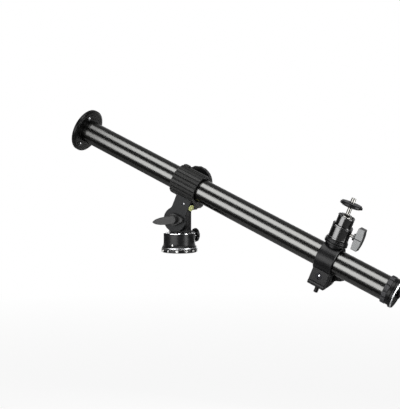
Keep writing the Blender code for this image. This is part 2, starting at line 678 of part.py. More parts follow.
def build_bracket(arm, tube, finishes):
    """The cast bracket between the hinge and the collar, with its set screw, level and thumb screw."""
    plate = [(x, -z) for x, z in bracket_outline()]
    bracket = outline("upper_bracket", plate, (0, -CHEEK_FRONT, 0), CHEEK_THICKNESS, "Y", arm,
                      finishes["dark_casting"], BRACKET_EDGE)
    overlap = 2 * SEAT_GAP
    block = box("bracket_block", (-NECK_LEFT - BLOCK_MARGIN, -CHEEK_BACK - overlap, BLOCK_BOTTOM),
                (NECK_RIGHT + BLOCK_MARGIN, BLOCK_REAR, NECK_TOP - BLOCK_MARGIN), arm)
    cut(block, rod("bracket_sweep", KNUCKLE_SWEEP, (0, -CHEEK_BACK, 0), BLOCK_REAR + CHEEK_FRONT, "Y", arm,
                   steps=FINE))
    join(bracket, block)
    cut(bracket, rod("bracket_bore", BOLT_RADIUS + SEAT_GAP, (0, -CHEEK_FRONT - SEAT_GAP, 0),
                     CHEEK_THICKNESS + 2 * SEAT_GAP, "Y", arm))
    build_neck_screw(bracket, arm, finishes)
    build_level(bracket, arm, finishes)
    cut(bracket, rod("collar_seat", COLLAR_RADIUS + SEAT_GAP, (COLLAR_LOW - COLLAR_LENGTH, 0, 0),
                     3 * COLLAR_LENGTH, "X", tube, steps=FINE))
    build_thumb_screw(bracket, arm, finishes)


def build_neck_screw(bracket, arm, finishes):
    """The small socket screw in the neck's front."""
    centre = (NECK_SCREW_ALONG, -CHEEK_FRONT, NECK_SCREW_HEIGHT)
    cut(bracket, rod("neck_screw_hole", NECK_SCREW_RADIUS + SEAT_GAP,
                     (centre[0], centre[1] - SEAT_GAP, centre[2]),
                     NECK_SCREW_DEPTH + 2 * SEAT_GAP, "Y", arm))
    screw = rod("neck_screw", NECK_SCREW_RADIUS, (centre[0], centre[1] + SEAT_GAP, centre[2]),
                NECK_SCREW_DEPTH - SEAT_GAP, "Y", arm, finishes["bright_aluminium"])
    cut(screw, outline("neck_screw_hex", hexagon(NECK_SCREW_RADIUS / 2),
                       (centre[0], centre[1] - SEAT_GAP, centre[2]),
                       NECK_SCREW_DEPTH / 2, "Y", arm))


def build_level(bracket, arm, finishes):
    """The round level on the bracket's low side: it reads when the arm stands upright."""
    axis = frame("level_axis", arm, (NECK_RIGHT - LEVEL_INSET, -LEVEL_ACROSS, LEVEL_HEIGHT),
                 (0, 0, -LEVEL_TURN))
    seat = (SEAT_GAP, 0, 0)
    join(bracket, rod("level_boss", LEVEL_RADIUS + LEVEL_BOSS_WALL, (-LEVEL_DEPTH, 0, 0),
                      LEVEL_DEPTH + FINE_BREAK,
                      "X", axis, steps=MEDIUM))
    cut(bracket, rod("level_spot_face", LEVEL_RADIUS + SEAT_GAP, (0, 0, 0), 3 * LEVEL_RIM, "X", axis,
                     steps=MEDIUM))
    cut(bracket, rod("level_pocket", LEVEL_STEM_RADIUS + SEAT_GAP, (-LEVEL_DEPTH, 0, 0), 2 * LEVEL_DEPTH,
                     "X",
                     axis))
    turned("level_cup", [
        (LEVEL_RADIUS - FINE_BREAK, LEVEL_RIM), (LEVEL_RADIUS, LEVEL_RIM - FINE_BREAK), (LEVEL_RADIUS, 0),
        (LEVEL_STEM_RADIUS, 0), (LEVEL_STEM_RADIUS, SEAT_GAP - LEVEL_DEPTH), (0, SEAT_GAP - LEVEL_DEPTH),
        (0, LEVEL_RIM - VIAL_DEPTH), (VIAL_RADIUS + SEAT_GAP, LEVEL_RIM - VIAL_DEPTH),
        (VIAL_RADIUS + SEAT_GAP, LEVEL_RIM)], axis, finishes["black_plastic"], seat, "X", SMALL)
    vial_bottom = LEVEL_RIM - VIAL_DEPTH + SEAT_GAP
    turned("level_vial", [
        (0, LEVEL_RIM + VIAL_DOME), (VIAL_RADIUS / 2, LEVEL_RIM + 3 * VIAL_DOME / 4),
        (VIAL_RADIUS, LEVEL_RIM),
        (VIAL_RADIUS, vial_bottom), (0, vial_bottom)], axis, finishes["level_green"], seat, "X", SMALL)


def build_thumb_screw(bracket, arm, finishes):
    """The small thumb screw on the bracket's far side."""
    axis = frame("thumb_screw_axis", arm, (THUMB_SCREW_ALONG, BLOCK_REAR, THUMB_SCREW_HEIGHT))
    cut(bracket, rod("thumb_screw_hole", THUMB_SCREW_RADIUS + SEAT_GAP,
                     (0, -THUMB_SCREW_DEPTH - SEAT_GAP, 0),
                     THUMB_SCREW_DEPTH + 3 * SEAT_GAP, "Y", axis))
    knob = outline("side_thumb_screw", fluted_circle(THUMB_KNOB_RADIUS, THUMB_KNOB_LOBE_DEPTH,
                                                     THUMB_KNOB_LOBES),
                   (0, THUMB_KNOB_CLEAR, 0), THUMB_KNOB_LENGTH, "Y", axis, finishes["black_plastic"],
                   FINE_BREAK)
    join(knob, rod("thumb_screw_shank", THUMB_SCREW_RADIUS, (0, -THUMB_SCREW_DEPTH, 0),
                   THUMB_SCREW_DEPTH + THUMB_KNOB_LENGTH / 2, "Y", axis))


# Clamp collar, in the tube's frame
def build_collar(tube, finishes):
    """The ribbed collar with its plastic liner, the boss for the tube lock, and the lock knob."""
    collar = outline("clamp_collar", ribbed_circle(COLLAR_RADIUS, RIB_DEPTH, COLLAR_RIBS, RIB_SHARE),
                     (COLLAR_LOW, 0, 0),
                     COLLAR_LENGTH, "X", tube, finishes["dark_casting"])
    lug_start = COLLAR_LOW + COLLAR_LUG_START
    lug = box("collar_lug", (lug_start, -COLLAR_LUG_WIDTH / 2, COLLAR_BORE + SEAT_GAP),
              (lug_start + COLLAR_LUG_LENGTH, COLLAR_LUG_WIDTH / 2, COLLAR_RADIUS + COLLAR_LUG_RISE), tube,
              None,
              COLLAR_LUG_EDGE)
    boss = rod("tube_lock_boss", TUBE_BOSS_RADIUS, (TUBE_KNOB_ALONG, COLLAR_BORE, 0),
               TUBE_BOSS_FACE - COLLAR_BORE,
               "Y", tube, steps=MEDIUM)
    join(collar, lug, boss)
    cut(collar, rod("collar_bore", COLLAR_BORE, (COLLAR_LOW - SEAT_GAP, 0, 0), COLLAR_LENGTH + 2 * SEAT_GAP,
                    "X",
                    tube, steps=FINE))
    cut(collar, rod("tube_lock_bore", TUBE_SCREW_RADIUS + SEAT_GAP, (TUBE_KNOB_ALONG, 0, 0),
                    TUBE_BOSS_FACE + SEAT_GAP, "Y", tube))
    length = COLLAR_LENGTH - 2 * LINER_INSET
    liner = turned("collar_liner", [
        (COLLAR_BORE - SEAT_GAP, length), (COLLAR_BORE - SEAT_GAP, 0), (TUBE_RADIUS + RUN_GAP, 0),
        (TUBE_RADIUS + RUN_GAP, length)], tube, finishes["black_plastic"], (COLLAR_LOW + LINER_INSET, 0, 0),
        "X", FINE)
    cut(liner, box("collar_liner_slit", (COLLAR_LOW, -LINER_SLIT / 2, -COLLAR_RADIUS),
                   (COLLAR_LOW + COLLAR_LENGTH, LINER_SLIT / 2, SLIT_TOP), tube))
    build_tube_knob(tube, finishes)


def build_tube_knob(tube, finishes):
    """The large domed knob on the far side: its screw presses the liner on the tube."""
    start = TUBE_BOSS_FACE + SEAT_GAP
    axis = frame("tube_lock_axis", tube, (TUBE_KNOB_ALONG, start, 0))
    length = TUBE_KNOB_LENGTH
    radius = TUBE_KNOB_RADIUS
    knob = outline("tube_lock_knob", fluted_circle(radius, TUBE_KNOB_FLUTE_DEPTH, TUBE_KNOB_FLUTES),
                   (0, 0, 0),
                   length, "Y", axis, finishes["black_plastic"])
    wide = radius * KNOB_SPARE
    dome_start = length * TUBE_KNOB_DOME_SHARE
    dome = [(wide * math.cos(turn), dome_start + (length - dome_start) * math.sin(turn))
            for turn in (math.radians(72 - 18 * step) for step in range(5))]
    crown = turned("tube_lock_crown", [(0, length + SEAT_GAP)] + dome + [
        (wide, length * TUBE_KNOB_SKIRT_SHARE),
        (wide * TUBE_KNOB_SKIRT_TAPER, length * TUBE_KNOB_HUB_SHARE),
        (TUBE_BOSS_RADIUS, length * TUBE_KNOB_HUB_SHARE), (TUBE_BOSS_RADIUS, -SEAT_GAP), (0, -SEAT_GAP)],
        axis, None, (0, 0, 0), "Y", FINE)
    boolean(knob, crown, "INTERSECT")
    depth = length / 2
    cut(knob, rod("tube_lock_socket", TUBE_SCREW_RADIUS + SEAT_GAP, (0, -SEAT_GAP, 0), depth + SEAT_GAP,
                  "Y", axis))
    tip = COLLAR_BORE - start
    rod("tube_lock_screw", TUBE_SCREW_RADIUS, (0, tip, 0), depth - SEAT_GAP - tip, "Y", axis,
        finishes["steel"])


# Arm tube with its two ends
def build_tube(slide, finishes):
    """The tube itself."""
    length = TUBE_HIGH_END + TUBE_LOW_END
    inner = TUBE_RADIUS - TUBE_WALL
    turned("arm_tube", [
        (TUBE_RADIUS - FINE_BREAK, length), (TUBE_RADIUS, length - FINE_BREAK), (TUBE_RADIUS, 0),
        (inner, 0),
        (inner, length)], slide, finishes["gloss_black"], (-TUBE_HIGH_END, 0, 0), "X", FINE)
    build_head_flange(slide, finishes)
    build_low_end(slide, finishes)


def build_head_flange(slide, finishes):
    """The round flange that takes a tripod head, with its stud and screws."""
    face = -TUBE_HIGH_END - SEAT_GAP
    outer = face - FLANGE_THICKNESS
    plug = TUBE_RADIUS - TUBE_WALL - SEAT_GAP
    total = FLANGE_THICKNESS + PLUG_LENGTH
    step = FLANGE_THICKNESS
    flange = turned("head_flange", [
        (plug, total), (plug, step), (FLANGE_RADIUS - FLANGE_LIP, step),
        (FLANGE_RADIUS - FLANGE_LIP + FLANGE_LIP_WIDTH, step - FLANGE_EDGE),
        (FLANGE_RADIUS, step - FLANGE_EDGE_SPARE * FLANGE_EDGE),
        (FLANGE_RADIUS, FLANGE_EDGE / 2), (FLANGE_RADIUS - FLANGE_EDGE / 2, 0),
        (HEAD_STUD_RADIUS + SEAT_GAP, 0), (HEAD_STUD_RADIUS + SEAT_GAP, HEAD_STUD_SEAT),
        (plug - PLUG_WALL, HEAD_STUD_SEAT + BREAK), (plug - PLUG_WALL, total)],
        slide, finishes["black_satin"], (outer, 0, 0), "X", FINE)
    rod("head_stud", HEAD_STUD_RADIUS, (outer - HEAD_STUD_LENGTH, 0, 0), HEAD_STUD_LENGTH + HEAD_STUD_SEAT,
        "X", slide,
        finishes["steel"], SMALL, FINE_BREAK)
    for index in range(FLANGE_SCREWS):
        angle = math.radians(180 + 60 + 360 * index / FLANGE_SCREWS)
        y = FLANGE_SCREW_CIRCLE * math.cos(angle)
        z = FLANGE_SCREW_CIRCLE * math.sin(angle)
        name = f"flange_screw_{index + 1}"
        cut(flange, rod(name + "_hole", FLANGE_SCREW_RADIUS + SEAT_GAP, (outer - SEAT_GAP, y, z),
                        FLANGE_THICKNESS + 2 * SEAT_GAP, "X", slide))
        screw = rod(name, FLANGE_SCREW_RADIUS, (outer + 2 * SEAT_GAP, y, z),
                    FLANGE_THICKNESS + FLANGE_SCREW_PROUD, "X",
                    slide, finishes["bright_aluminium"], SMALL, FINE_BREAK)
        socket_start = outer + 2 * SEAT_GAP + FLANGE_THICKNESS + FLANGE_SCREW_PROUD - FLANGE_SCREW_SOCKET
        cut(screw, outline(name + "_hex", hexagon(FLANGE_SCREW_RADIUS / 2), (socket_start, y, z),
                           FLANGE_SCREW_SOCKET + SEAT_GAP, "X", slide))


def build_low_end(slide, finishes):
    """The padded grip ring, the cap, the polished end flange and its lug."""
    grip = outline("end_grip_ring", ribbed_circle(GRIP_RADIUS, GRIP_GROOVE, GRIP_PADS, GRIP_PAD_SHARE),
                   (GRIP_START, 0, 0),
                   GRIP_LENGTH, "X", slide, finishes["rubber"])
    cut(grip, rod("grip_bore", TUBE_RADIUS + SEAT_GAP, (GRIP_START - SEAT_GAP, 0, 0),
                  GRIP_LENGTH + 2 * SEAT_GAP,
                  "X", slide, steps=FINE))
    plug = TUBE_RADIUS - TUBE_WALL - SEAT_GAP
    screw_bore = END_SCREW_RADIUS + SEAT_GAP
    band = CAP_BAND_LENGTH
    turned("end_cap", [
        (screw_bore, band), (CAP_BAND_RADIUS - BREAK, band), (CAP_BAND_RADIUS, band - BREAK),
        (CAP_BAND_RADIUS, 0), (plug, 0), (plug, -PLUG_LENGTH), (screw_bore, -PLUG_LENGTH)],
        slide, finishes["black_satin"], (CAP_START, 0, 0), "X", FINE)
    edge = END_FLANGE_EDGE
    thickness = END_FLANGE_THICKNESS
    flange = turned("end_flange", [
        (screw_bore, thickness), (END_FLANGE_RADIUS - edge, thickness),
        (END_FLANGE_RADIUS, thickness - edge),
        (END_FLANGE_RADIUS, edge), (END_FLANGE_RADIUS - edge, 0), (screw_bore, 0)],
        slide, finishes["chrome"], (END_FLANGE_START, 0, 0), "X", FINE)
    screw = rod("end_screw", END_SCREW_HEAD_RADIUS, (END_FACE + SEAT_GAP, 0, 0), END_SCREW_HEAD_LENGTH, "X",
                slide,
                finishes["steel"], SMALL, FINE_BREAK)
    join(screw, rod("end_screw_shank", END_SCREW_RADIUS, (END_FACE - END_SCREW_DEPTH, 0, 0),
                    END_SCREW_DEPTH + END_SCREW_HEAD_LENGTH / 2, "X", slide))
    cut(screw, outline("end_screw_hex", hexagon(END_SCREW_HEAD_RADIUS / 2),
                       (END_FACE + SEAT_GAP + END_SCREW_HEAD_LENGTH / 2, 0, 0), END_SCREW_HEAD_LENGTH, "X",
                       slide))
    lug = box("end_lug", (END_FACE + SEAT_GAP, -LUG_WIDTH / 2, LUG_HEIGHT - LUG_THICKNESS / 2),
              (END_FACE + LUG_LENGTH, LUG_WIDTH / 2, LUG_HEIGHT + LUG_THICKNESS / 2), slide,
              finishes["black_satin"],
              LUG_EDGE)
    join(lug, rod("end_lug_peg", LUG_PEG_RADIUS, (END_FLANGE_START + edge, 0, LUG_HEIGHT), thickness, "X",
                  slide))
    cut(flange, rod("end_lug_seat", LUG_PEG_RADIUS + SEAT_GAP,
                    (END_FLANGE_START + edge - SEAT_GAP, 0, LUG_HEIGHT),
                    thickness, "X", slide))
    cut(lug, rod("end_lug_eye", LUG_HOLE_RADIUS,
                 (END_FACE + LUG_LENGTH - LUG_THICKNESS / 2, -LUG_WIDTH, LUG_HEIGHT),
                 2 * LUG_WIDTH, "Y", slide))


# Ring clamp, in its own frame on the tube's axis
def build_ring_clamp(ring, finishes):
    """The band with its two ears and top pad, the liner, the studs and the clamp screw."""
    half = RING_LENGTH / 2
    band = rod("ring_band", RING_RADIUS, (-half, 0, 0), RING_LENGTH, "X", ring, finishes["black_satin"],
               FINE, BREAK)
    neck = rod("pad_neck", PAD_NECK_RADIUS, (0, 0, TUBE_RADIUS), PAD_TOP - TUBE_RADIUS - PAD_THICKNESS / 2,
               "Z", ring,
               steps=MEDIUM)
    pad = rod("ring_pad", PAD_RADIUS, (0, 0, PAD_TOP - PAD_THICKNESS), PAD_THICKNESS, "Z", ring, None,
              MEDIUM, BREAK)
    inset = half - EAR_INSET
    ear_low = -EAR_DROP
    roll_y = EAR_ROLL_RADIUS - EAR_ROLL_PROUD - EAR_FRONT
    roll_z = ear_low + EAR_ROLL_RADIUS
    meet = 90 + math.degrees(math.asin((EAR_ROLL_RADIUS - EAR_ROLL_PROUD) / EAR_ROLL_RADIUS))
    profile = [(-EAR_SLIT / 2, SLIT_TOP), (-EAR_SLIT / 2, ear_low)]
    profile += arc(EAR_ROLL_RADIUS, 270, meet, 8, (roll_y, roll_z)) + [(-EAR_FRONT, SLIT_TOP)]
    front = outline("ring_front_ear", [(-z, y) for y, z in profile], (-inset, 0, 0), 2 * inset, "X", ring)
    rear = box("ring_rear_ear", (-inset, EAR_SLIT / 2, ear_low), (inset, EAR_REAR, SLIT_TOP), ring, None,
               BREAK)
    join(band, neck, pad, front, rear)
    cut(band, rod("ring_bore", RING_BORE, (-half - SEAT_GAP, 0, 0), RING_LENGTH + 2 * SEAT_GAP, "X", ring,
                  steps=FINE))
    cut(band, box("ring_slit", (-half - SEAT_GAP, -EAR_SLIT / 2, ear_low - SEAT_GAP),
                  (half + SEAT_GAP, EAR_SLIT / 2, SLIT_TOP), ring))
    for index, angle in enumerate(EAR_GROOVE_ANGLES):
        y = roll_y + EAR_ROLL_RADIUS * math.cos(math.radians(angle))
        z = roll_z + EAR_ROLL_RADIUS * math.sin(math.radians(angle))
        cut(band, rod(f"ear_groove_{index + 1}", EAR_GROOVE_RADIUS, (-half - SEAT_GAP, y, z),
                      RING_LENGTH + 2 * SEAT_GAP, "X", ring, steps=8))
    cut(band, rod("clamp_screw_hole", CLAMP_SCREW_RADIUS + SEAT_GAP, (0, -EAR_FRONT, -CLAMP_SCREW_DROP),
                  EAR_FRONT + EAR_REAR + SEAT_GAP, "Y", ring))
    cut(band, rod("clamp_head_recess", CLAMP_HEAD_RADIUS + SEAT_GAP,
                  (0, -EAR_FRONT - SEAT_GAP, -CLAMP_SCREW_DROP),
                  CLAMP_HEAD_DEPTH + 2 * SEAT_GAP, "Y", ring))
    build_ring_studs(ring, band, ear_low, finishes)
    length = RING_LENGTH - 2 * RING_LINER_INSET
    liner = turned("ring_liner", [
        (RING_BORE - SEAT_GAP, length), (RING_BORE - SEAT_GAP, 0), (TUBE_RADIUS + RUN_GAP, 0),
        (TUBE_RADIUS + RUN_GAP, length)], ring, finishes["black_plastic"], (-half + RING_LINER_INSET, 0, 0),
        "X", FINE)
    cut(liner, box("ring_liner_slit", (-half, -EAR_SLIT / 2, -RING_RADIUS), (half, EAR_SLIT / 2, SLIT_TOP),
                   ring))
    build_clamp_lock(ring, finishes)


def build_ring_studs(ring, band, ear_low, finishes):
    """The stud that holds the ball head and the small stub under the front ear."""
    stud_start = PAD_TOP - CLAMP_STUD_SEAT
    rod("clamp_stud", CLAMP_STUD_RADIUS, (0, 0, stud_start), PAD_TOP - stud_start + CLAMP_STUD_LENGTH, "Z",
        ring,
        finishes["steel"], SMALL, FINE_BREAK)
    cut(band, rod("clamp_stud_seat", CLAMP_STUD_RADIUS + SEAT_GAP, (0, 0, stud_start - SEAT_GAP),
                  PAD_TOP - stud_start + 2 * SEAT_GAP, "Z", ring))
    centre = (STUB_FROM_END - RING_LENGTH / 2, -STUB_ACROSS)
    rod("clamp_stub", STUB_RADIUS, (*centre, ear_low - STUB_LENGTH), STUB_LENGTH + STUB_SEAT, "Z", ring,
        finishes["black_plastic"], SMALL, FINE_BREAK)
    cut(band, rod("clamp_stub_seat", STUB_RADIUS + SEAT_GAP, (*centre, ear_low - SEAT_GAP),
                  STUB_SEAT + 2 * SEAT_GAP, "Z", ring))


def build_clamp_lock(ring, finishes):
    """The clamp screw with its slotted head, and the star knob that runs on its far end."""
    axis = frame("ring_lock_axis", ring, (0, 0, -CLAMP_SCREW_DROP))
    head_start = -EAR_FRONT + SEAT_GAP
    knob_start = EAR_REAR + SEAT_GAP
    screw = rod("clamp_screw", CLAMP_HEAD_RADIUS, (0, head_start, 0), CLAMP_HEAD_DEPTH - SEAT_GAP, "Y",
                axis,
                finishes["steel"])
    join(screw, rod("clamp_screw_shank", CLAMP_SCREW_RADIUS, (0, head_start + SEAT_GAP, 0),
                    knob_start + STAR_SOCKET_DEPTH - 2 * SEAT_GAP - head_start, "Y", axis))
    cut(screw, box("clamp_screw_slot", (-CLAMP_SLOT_WIDTH / 2, head_start - SEAT_GAP,
                                        -CLAMP_HEAD_RADIUS - SEAT_GAP),
                   (CLAMP_SLOT_WIDTH / 2, head_start - SEAT_GAP + CLAMP_SLOT_DEPTH,
                    CLAMP_HEAD_RADIUS + SEAT_GAP),
                   axis))
    lobes = fluted_circle(STAR_RADIUS, STAR_VALLEY_DEPTH, STAR_LOBES, 8)
    knob = outline("ring_lock_knob", lobes, (0, STAR_START, 0), STAR_THICKNESS, "Y", axis,
                   finishes["black_plastic"],
                   STAR_EDGE, -STAR_TURN)
    length = STAR_START - knob_start + STAR_THICKNESS + STAR_CROWN
    join(knob, turned("ring_lock_hub", [
        (0, length), (STAR_HUB_RADIUS - STAR_CROWN, length), (STAR_HUB_RADIUS, length - STAR_CROWN),
        (STAR_HUB_RADIUS, STAR_START - knob_start), (STAR_ROOT_RADIUS, 0), (0, 0)], axis, None,
        (0, knob_start, 0), "Y"))
    cut(knob, rod("ring_lock_socket", CLAMP_SCREW_RADIUS + SEAT_GAP, (0, knob_start - SEAT_GAP, 0),
                  STAR_SOCKET_DEPTH + SEAT_GAP, "Y", axis))


# Ball head on the ring clamp
def build_ball_head(ring, finishes):
    """The base ring, the body, the notched socket ring, and the lock screw with its paddle."""
    hole = CLAMP_STUD_RADIUS + SEAT_GAP
    step = BALL_BASE_THICKNESS
    base_top = step + BALL_STEP_THICKNESS
    turned("ball_base", [
        (hole, base_top), (BALL_STEP_RADIUS - BREAK, base_top), (BALL_STEP_RADIUS, base_top - BREAK),
        (BALL_STEP_RADIUS, step), (BALL_BASE_RADIUS - BREAK, step), (BALL_BASE_RADIUS, step - BREAK),
        (BALL_BASE_RADIUS, BREAK), (BALL_BASE_RADIUS - BREAK, 0), (hole, 0)],
        ring, finishes["black_satin"], (0, 0, BALL_BASE_BOTTOM), "Z", MEDIUM)
    body_start = BALL_BODY_BOTTOM + SEAT_GAP
    stud_top = PAD_TOP + CLAMP_STUD_LENGTH - body_start + SEAT_GAP
    body = turned("ball_body", [
        (0, BALL_BODY_LENGTH), (SOCKET_RADIUS, BALL_BODY_LENGTH),
        (BALL_BODY_RADIUS - FINE_BREAK, BALL_BODY_LENGTH),
        (BALL_BODY_RADIUS, BALL_BODY_LENGTH - 2 * FINE_BREAK), (BALL_BODY_RADIUS, 0), (hole, 0),
        (hole, stud_top),
        (0, stud_top)], ring, finishes["black_satin"], (0, 0, body_start), "Z", MEDIUM)
    pocket = ball("ball_pocket", BALL_RADIUS + RUN_GAP, ring, None, (0, 0, BALL_CENTRE))
    socket = turned("ball_socket", [
        (SOCKET_MOUTH_RADIUS, SOCKET_LENGTH), (SOCKET_RADIUS - BREAK, SOCKET_LENGTH),
        (SOCKET_RADIUS, SOCKET_LENGTH - BREAK), (SOCKET_RADIUS, 0), (SOCKET_MOUTH_RADIUS, 0)],
        ring, finishes["black_satin"], (0, 0, SOCKET_BOTTOM + SEAT_GAP), "Z", MEDIUM)
    cut(body, pocket)
    cut(socket, pocket)
    for index in range(SOCKET_NOTCHES):
        angle = 2 * math.pi * (index + 0.5) / SOCKET_NOTCHES
        turn = frame(f"socket_notch_axis_{index + 1}", ring, (0, 0, SOCKET_TOP + SEAT_GAP), (0, 0, angle))
        cut(socket, rod(f"socket_notch_{index + 1}", SOCKET_NOTCH_RADIUS,
                        (SOCKET_MOUTH_RADIUS - BREAK, 0, 0),
                        SOCKET_RADIUS - SOCKET_MOUTH_RADIUS + 2 * BREAK, "X", turn))
    build_ball_lock(ring, body, finishes)


def ball(name, radius, parent, material=None, centre=(0, 0, 0)):
    """A sphere."""
    shape = bmesh.new()
    bmesh.ops.create_uvsphere(shape, u_segments=MEDIUM, v_segments=BALL_ROWS, radius=radius)
    return add_object(name, mesh_of(name, shape), parent, material, centre)


def build_ball_lock(ring, body, finishes):
    """The lock screw and its two-lobed paddle on the low side."""
    height = BALL_BODY_BOTTOM + SEAT_GAP + BALL_SCREW_HEIGHT
    axis = frame("ball_lock_axis", ring, (0, 0, height))
    start = BALL_BODY_RADIUS - BALL_SCREW_DEPTH
    hub_start = BALL_BODY_RADIUS + BALL_SCREW_CLEAR
    cut(body, rod("ball_lock_hole", BALL_SCREW_RADIUS + SEAT_GAP, (start - SEAT_GAP, 0, 0),
                  BALL_BODY_RADIUS, "X",
                  axis))
    depth = PADDLE_HUB_LENGTH + PADDLE_THICKNESS / 2
    rod("ball_lock_screw", BALL_SCREW_RADIUS, (start, 0, 0), hub_start + depth - SEAT_GAP - start, "X",
        axis,
        finishes["steel"])
    half = PADDLE_LENGTH / 2
    outer = PADDLE_HUB_LENGTH + PADDLE_THICKNESS
    lobe = [(half * along, outer - PADDLE_BOW * bow) for along, bow in PADDLE_FRONT]
    lobe += [(half * along, PADDLE_HUB_LENGTH + PADDLE_BOW * bow) for along, bow in PADDLE_BACK]
    side = [(0, outer)] + lobe + [(-along, out) for along, out in reversed(lobe)]
    knob = outline("ball_lock_paddle", side, (hub_start, 0, 0), PADDLE_WIDTH, "Z", axis,
                   finishes["black_plastic"],
                   PADDLE_EDGE)
    knob.rotation_euler = (math.pi / 2, math.pi / 2, 0)
    knob.location = (hub_start, PADDLE_WIDTH / 2, 0)
    join(knob, rod("ball_lock_hub", PADDLE_HUB_RADIUS, (hub_start, 0, 0),
                   PADDLE_HUB_LENGTH + PADDLE_THICKNESS / 2,
                   "X", axis))
    cut(knob, rod("ball_lock_socket", BALL_SCREW_RADIUS + SEAT_GAP, (hub_start - SEAT_GAP, 0, 0),
                  depth + SEAT_GAP,
                  "X", axis))


def build_ball(ring, finishes):
    """The ball with its stem and screw, and the platform disc that locks on the screw."""
    ball_axis = frame("ball_axis", ring, (0, 0, BALL_CENTRE), BALL_LEAN)
    stem = ball("ball_stem", BALL_RADIUS, ball_axis, finishes["chrome"])
    neck = PLATFORM_BOTTOM - BALL_CENTRE
    top = PLATFORM_TOP - BALL_CENTRE
    join(stem, rod("ball_stem_neck", STEM_RADIUS, (0, 0, BALL_RADIUS / 2), neck - BALL_RADIUS / 2, "Z",
                   ball_axis))
    join(stem, rod("ball_stem_screw", STUD_RADIUS, (0, 0, neck - SEAT_GAP), top + STUD_LENGTH - neck, "Z",
                   ball_axis,
                   bevel=FINE_BREAK))
    bore = STUD_RADIUS + RUN_GAP
    thickness = PLATFORM_THICKNESS
    turned("platform_disc", [
        (bore, thickness), (PLATFORM_RADIUS - BREAK, thickness), (PLATFORM_RADIUS, thickness - BREAK),
        (PLATFORM_RADIUS, thickness / 2), (PLATFORM_DISH_RADIUS, PLATFORM_DISH_RISE),
        (PLATFORM_HUB_RADIUS, 0),
        (bore, 0)], ball_axis, finishes["black_satin"], (0, 0, neck), "Z", MEDIUM)
    pad_bore = bore + PLATFORM_PAD_THICKNESS
    turned("platform_pad", [
        (PLATFORM_PAD_RADIUS, PLATFORM_PAD_THICKNESS), (PLATFORM_PAD_RADIUS, 0), (pad_bore, 0),
        (pad_bore, PLATFORM_PAD_THICKNESS)], ball_axis, finishes["rubber"], (0, 0, top + SEAT_GAP), "Z",
        MEDIUM)


def main():
    """Builds the whole arm."""
    clear_scene()
    finishes = {
        "gloss_black": finish("gloss_black", "#101011", 0.18, 0.4),
        "black_anodised": finish("black_anodised", "#151516", 0.35, 0.3),
        "black_satin": finish("black_satin", "#18181A", 0.45, 0.2),
        "dark_casting": finish("dark_casting", "#343537", 0.55, 0.2),
        "black_plastic": finish("black_plastic", "#141414", 0.5),
        "rubber": finish("rubber", "#26262A", 0.75),
        "steel": finish("steel", "#A8A8A6", 0.3, 1.0),
        "bright_aluminium": finish("bright_aluminium", "#D5D6D8", 0.25, 1.0),
        "chrome": finish("chrome", "#E2E2E4", 0.08, 1.0),
        "level_green": finish("level_green", "#C9D36A", 0.15),
    }
    build_base(finishes)
    pan = build_pan(finishes)
    arm = frame("tilt_axis", pan, (0, 0, HINGE_HEIGHT), (0, TILT, 0))
    tube = frame("tube_axis", arm, (0, 0, HINGE_TO_TUBE))
    build_bracket(arm, tube, finishes)
    build_collar(tube, finishes)
    build_tube(tube, finishes)
    ring = frame("ring_axis", tube, (RING_ALONG, 0, 0), (RING_TURN, 0, 0))
    build_ring_clamp(ring, finishes)
    build_ball_head(ring, finishes)
    build_ball(ring, finishes)
    bpy.context.view_layer.update()


main()
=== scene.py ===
"""Looks of the tripod extension arm: finishes, fine forms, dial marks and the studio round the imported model.

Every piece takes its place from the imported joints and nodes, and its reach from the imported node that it
replaces or sits on. A length written with MM is in metres. Profiles and their sizes are plain millimetres,
which become metres where the mesh is made.
"""

import json
import logging
import math
from collections.abc import Callable, Sequence
from dataclasses import dataclass
from enum import Enum

import bmesh
import bpy
from mathutils import Matrix, Vector
from mathutils.bvhtree import BVHTree


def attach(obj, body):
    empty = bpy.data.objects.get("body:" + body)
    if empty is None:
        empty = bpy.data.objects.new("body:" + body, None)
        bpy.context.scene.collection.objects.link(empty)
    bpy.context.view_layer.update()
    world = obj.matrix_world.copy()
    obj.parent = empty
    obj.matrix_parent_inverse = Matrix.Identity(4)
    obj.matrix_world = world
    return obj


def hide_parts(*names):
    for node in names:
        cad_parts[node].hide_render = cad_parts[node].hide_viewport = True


MM = 0.001
PICTURE_WIDTH = 400
SMOOTH_ANGLE = math.radians(32)
FLAT_ANGLE = math.radians(1.0)
WELD_REACH = 0.002 * MM
PRINT_HEIGHT = 0.03 * MM
COARSE_SIDES = 48
SIDES = 96
FINE_SIDES = 128
RIGHT = Vector((1.0, 0.0, 0.0))
BACK = Vector((0.0, 1.0, 0.0))
UP = Vector((0.0, 0.0, 1.0))
LOG = logging.getLogger("extension_arm")

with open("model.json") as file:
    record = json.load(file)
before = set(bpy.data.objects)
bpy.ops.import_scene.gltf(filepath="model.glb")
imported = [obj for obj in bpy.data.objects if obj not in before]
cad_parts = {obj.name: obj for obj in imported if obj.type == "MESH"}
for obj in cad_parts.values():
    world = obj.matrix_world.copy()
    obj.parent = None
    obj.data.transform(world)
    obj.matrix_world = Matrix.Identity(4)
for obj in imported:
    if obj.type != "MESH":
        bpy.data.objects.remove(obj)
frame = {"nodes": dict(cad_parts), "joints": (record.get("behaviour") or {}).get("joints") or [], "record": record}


class Body(str, Enum):
    """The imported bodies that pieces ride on."""

    BASE = "base"
    PAN = "pan"
    BRACKET = "bracket"
    TUBE = "tube"
    RING = "ring"
    RING_LOCK = "ring_lock"
    BALL_LOCK = "ball_lock"


class Grain(Enum):
    """How a finish's fine pattern runs: its scale along the piece's own X, Y and Z, where less is longer."""

    EVEN = (1.0, 1.0, 1.0)
    ALONG_X = (0.04, 1.0, 1.0)
    ROUND_X = (1.0, 0.06, 0.06)


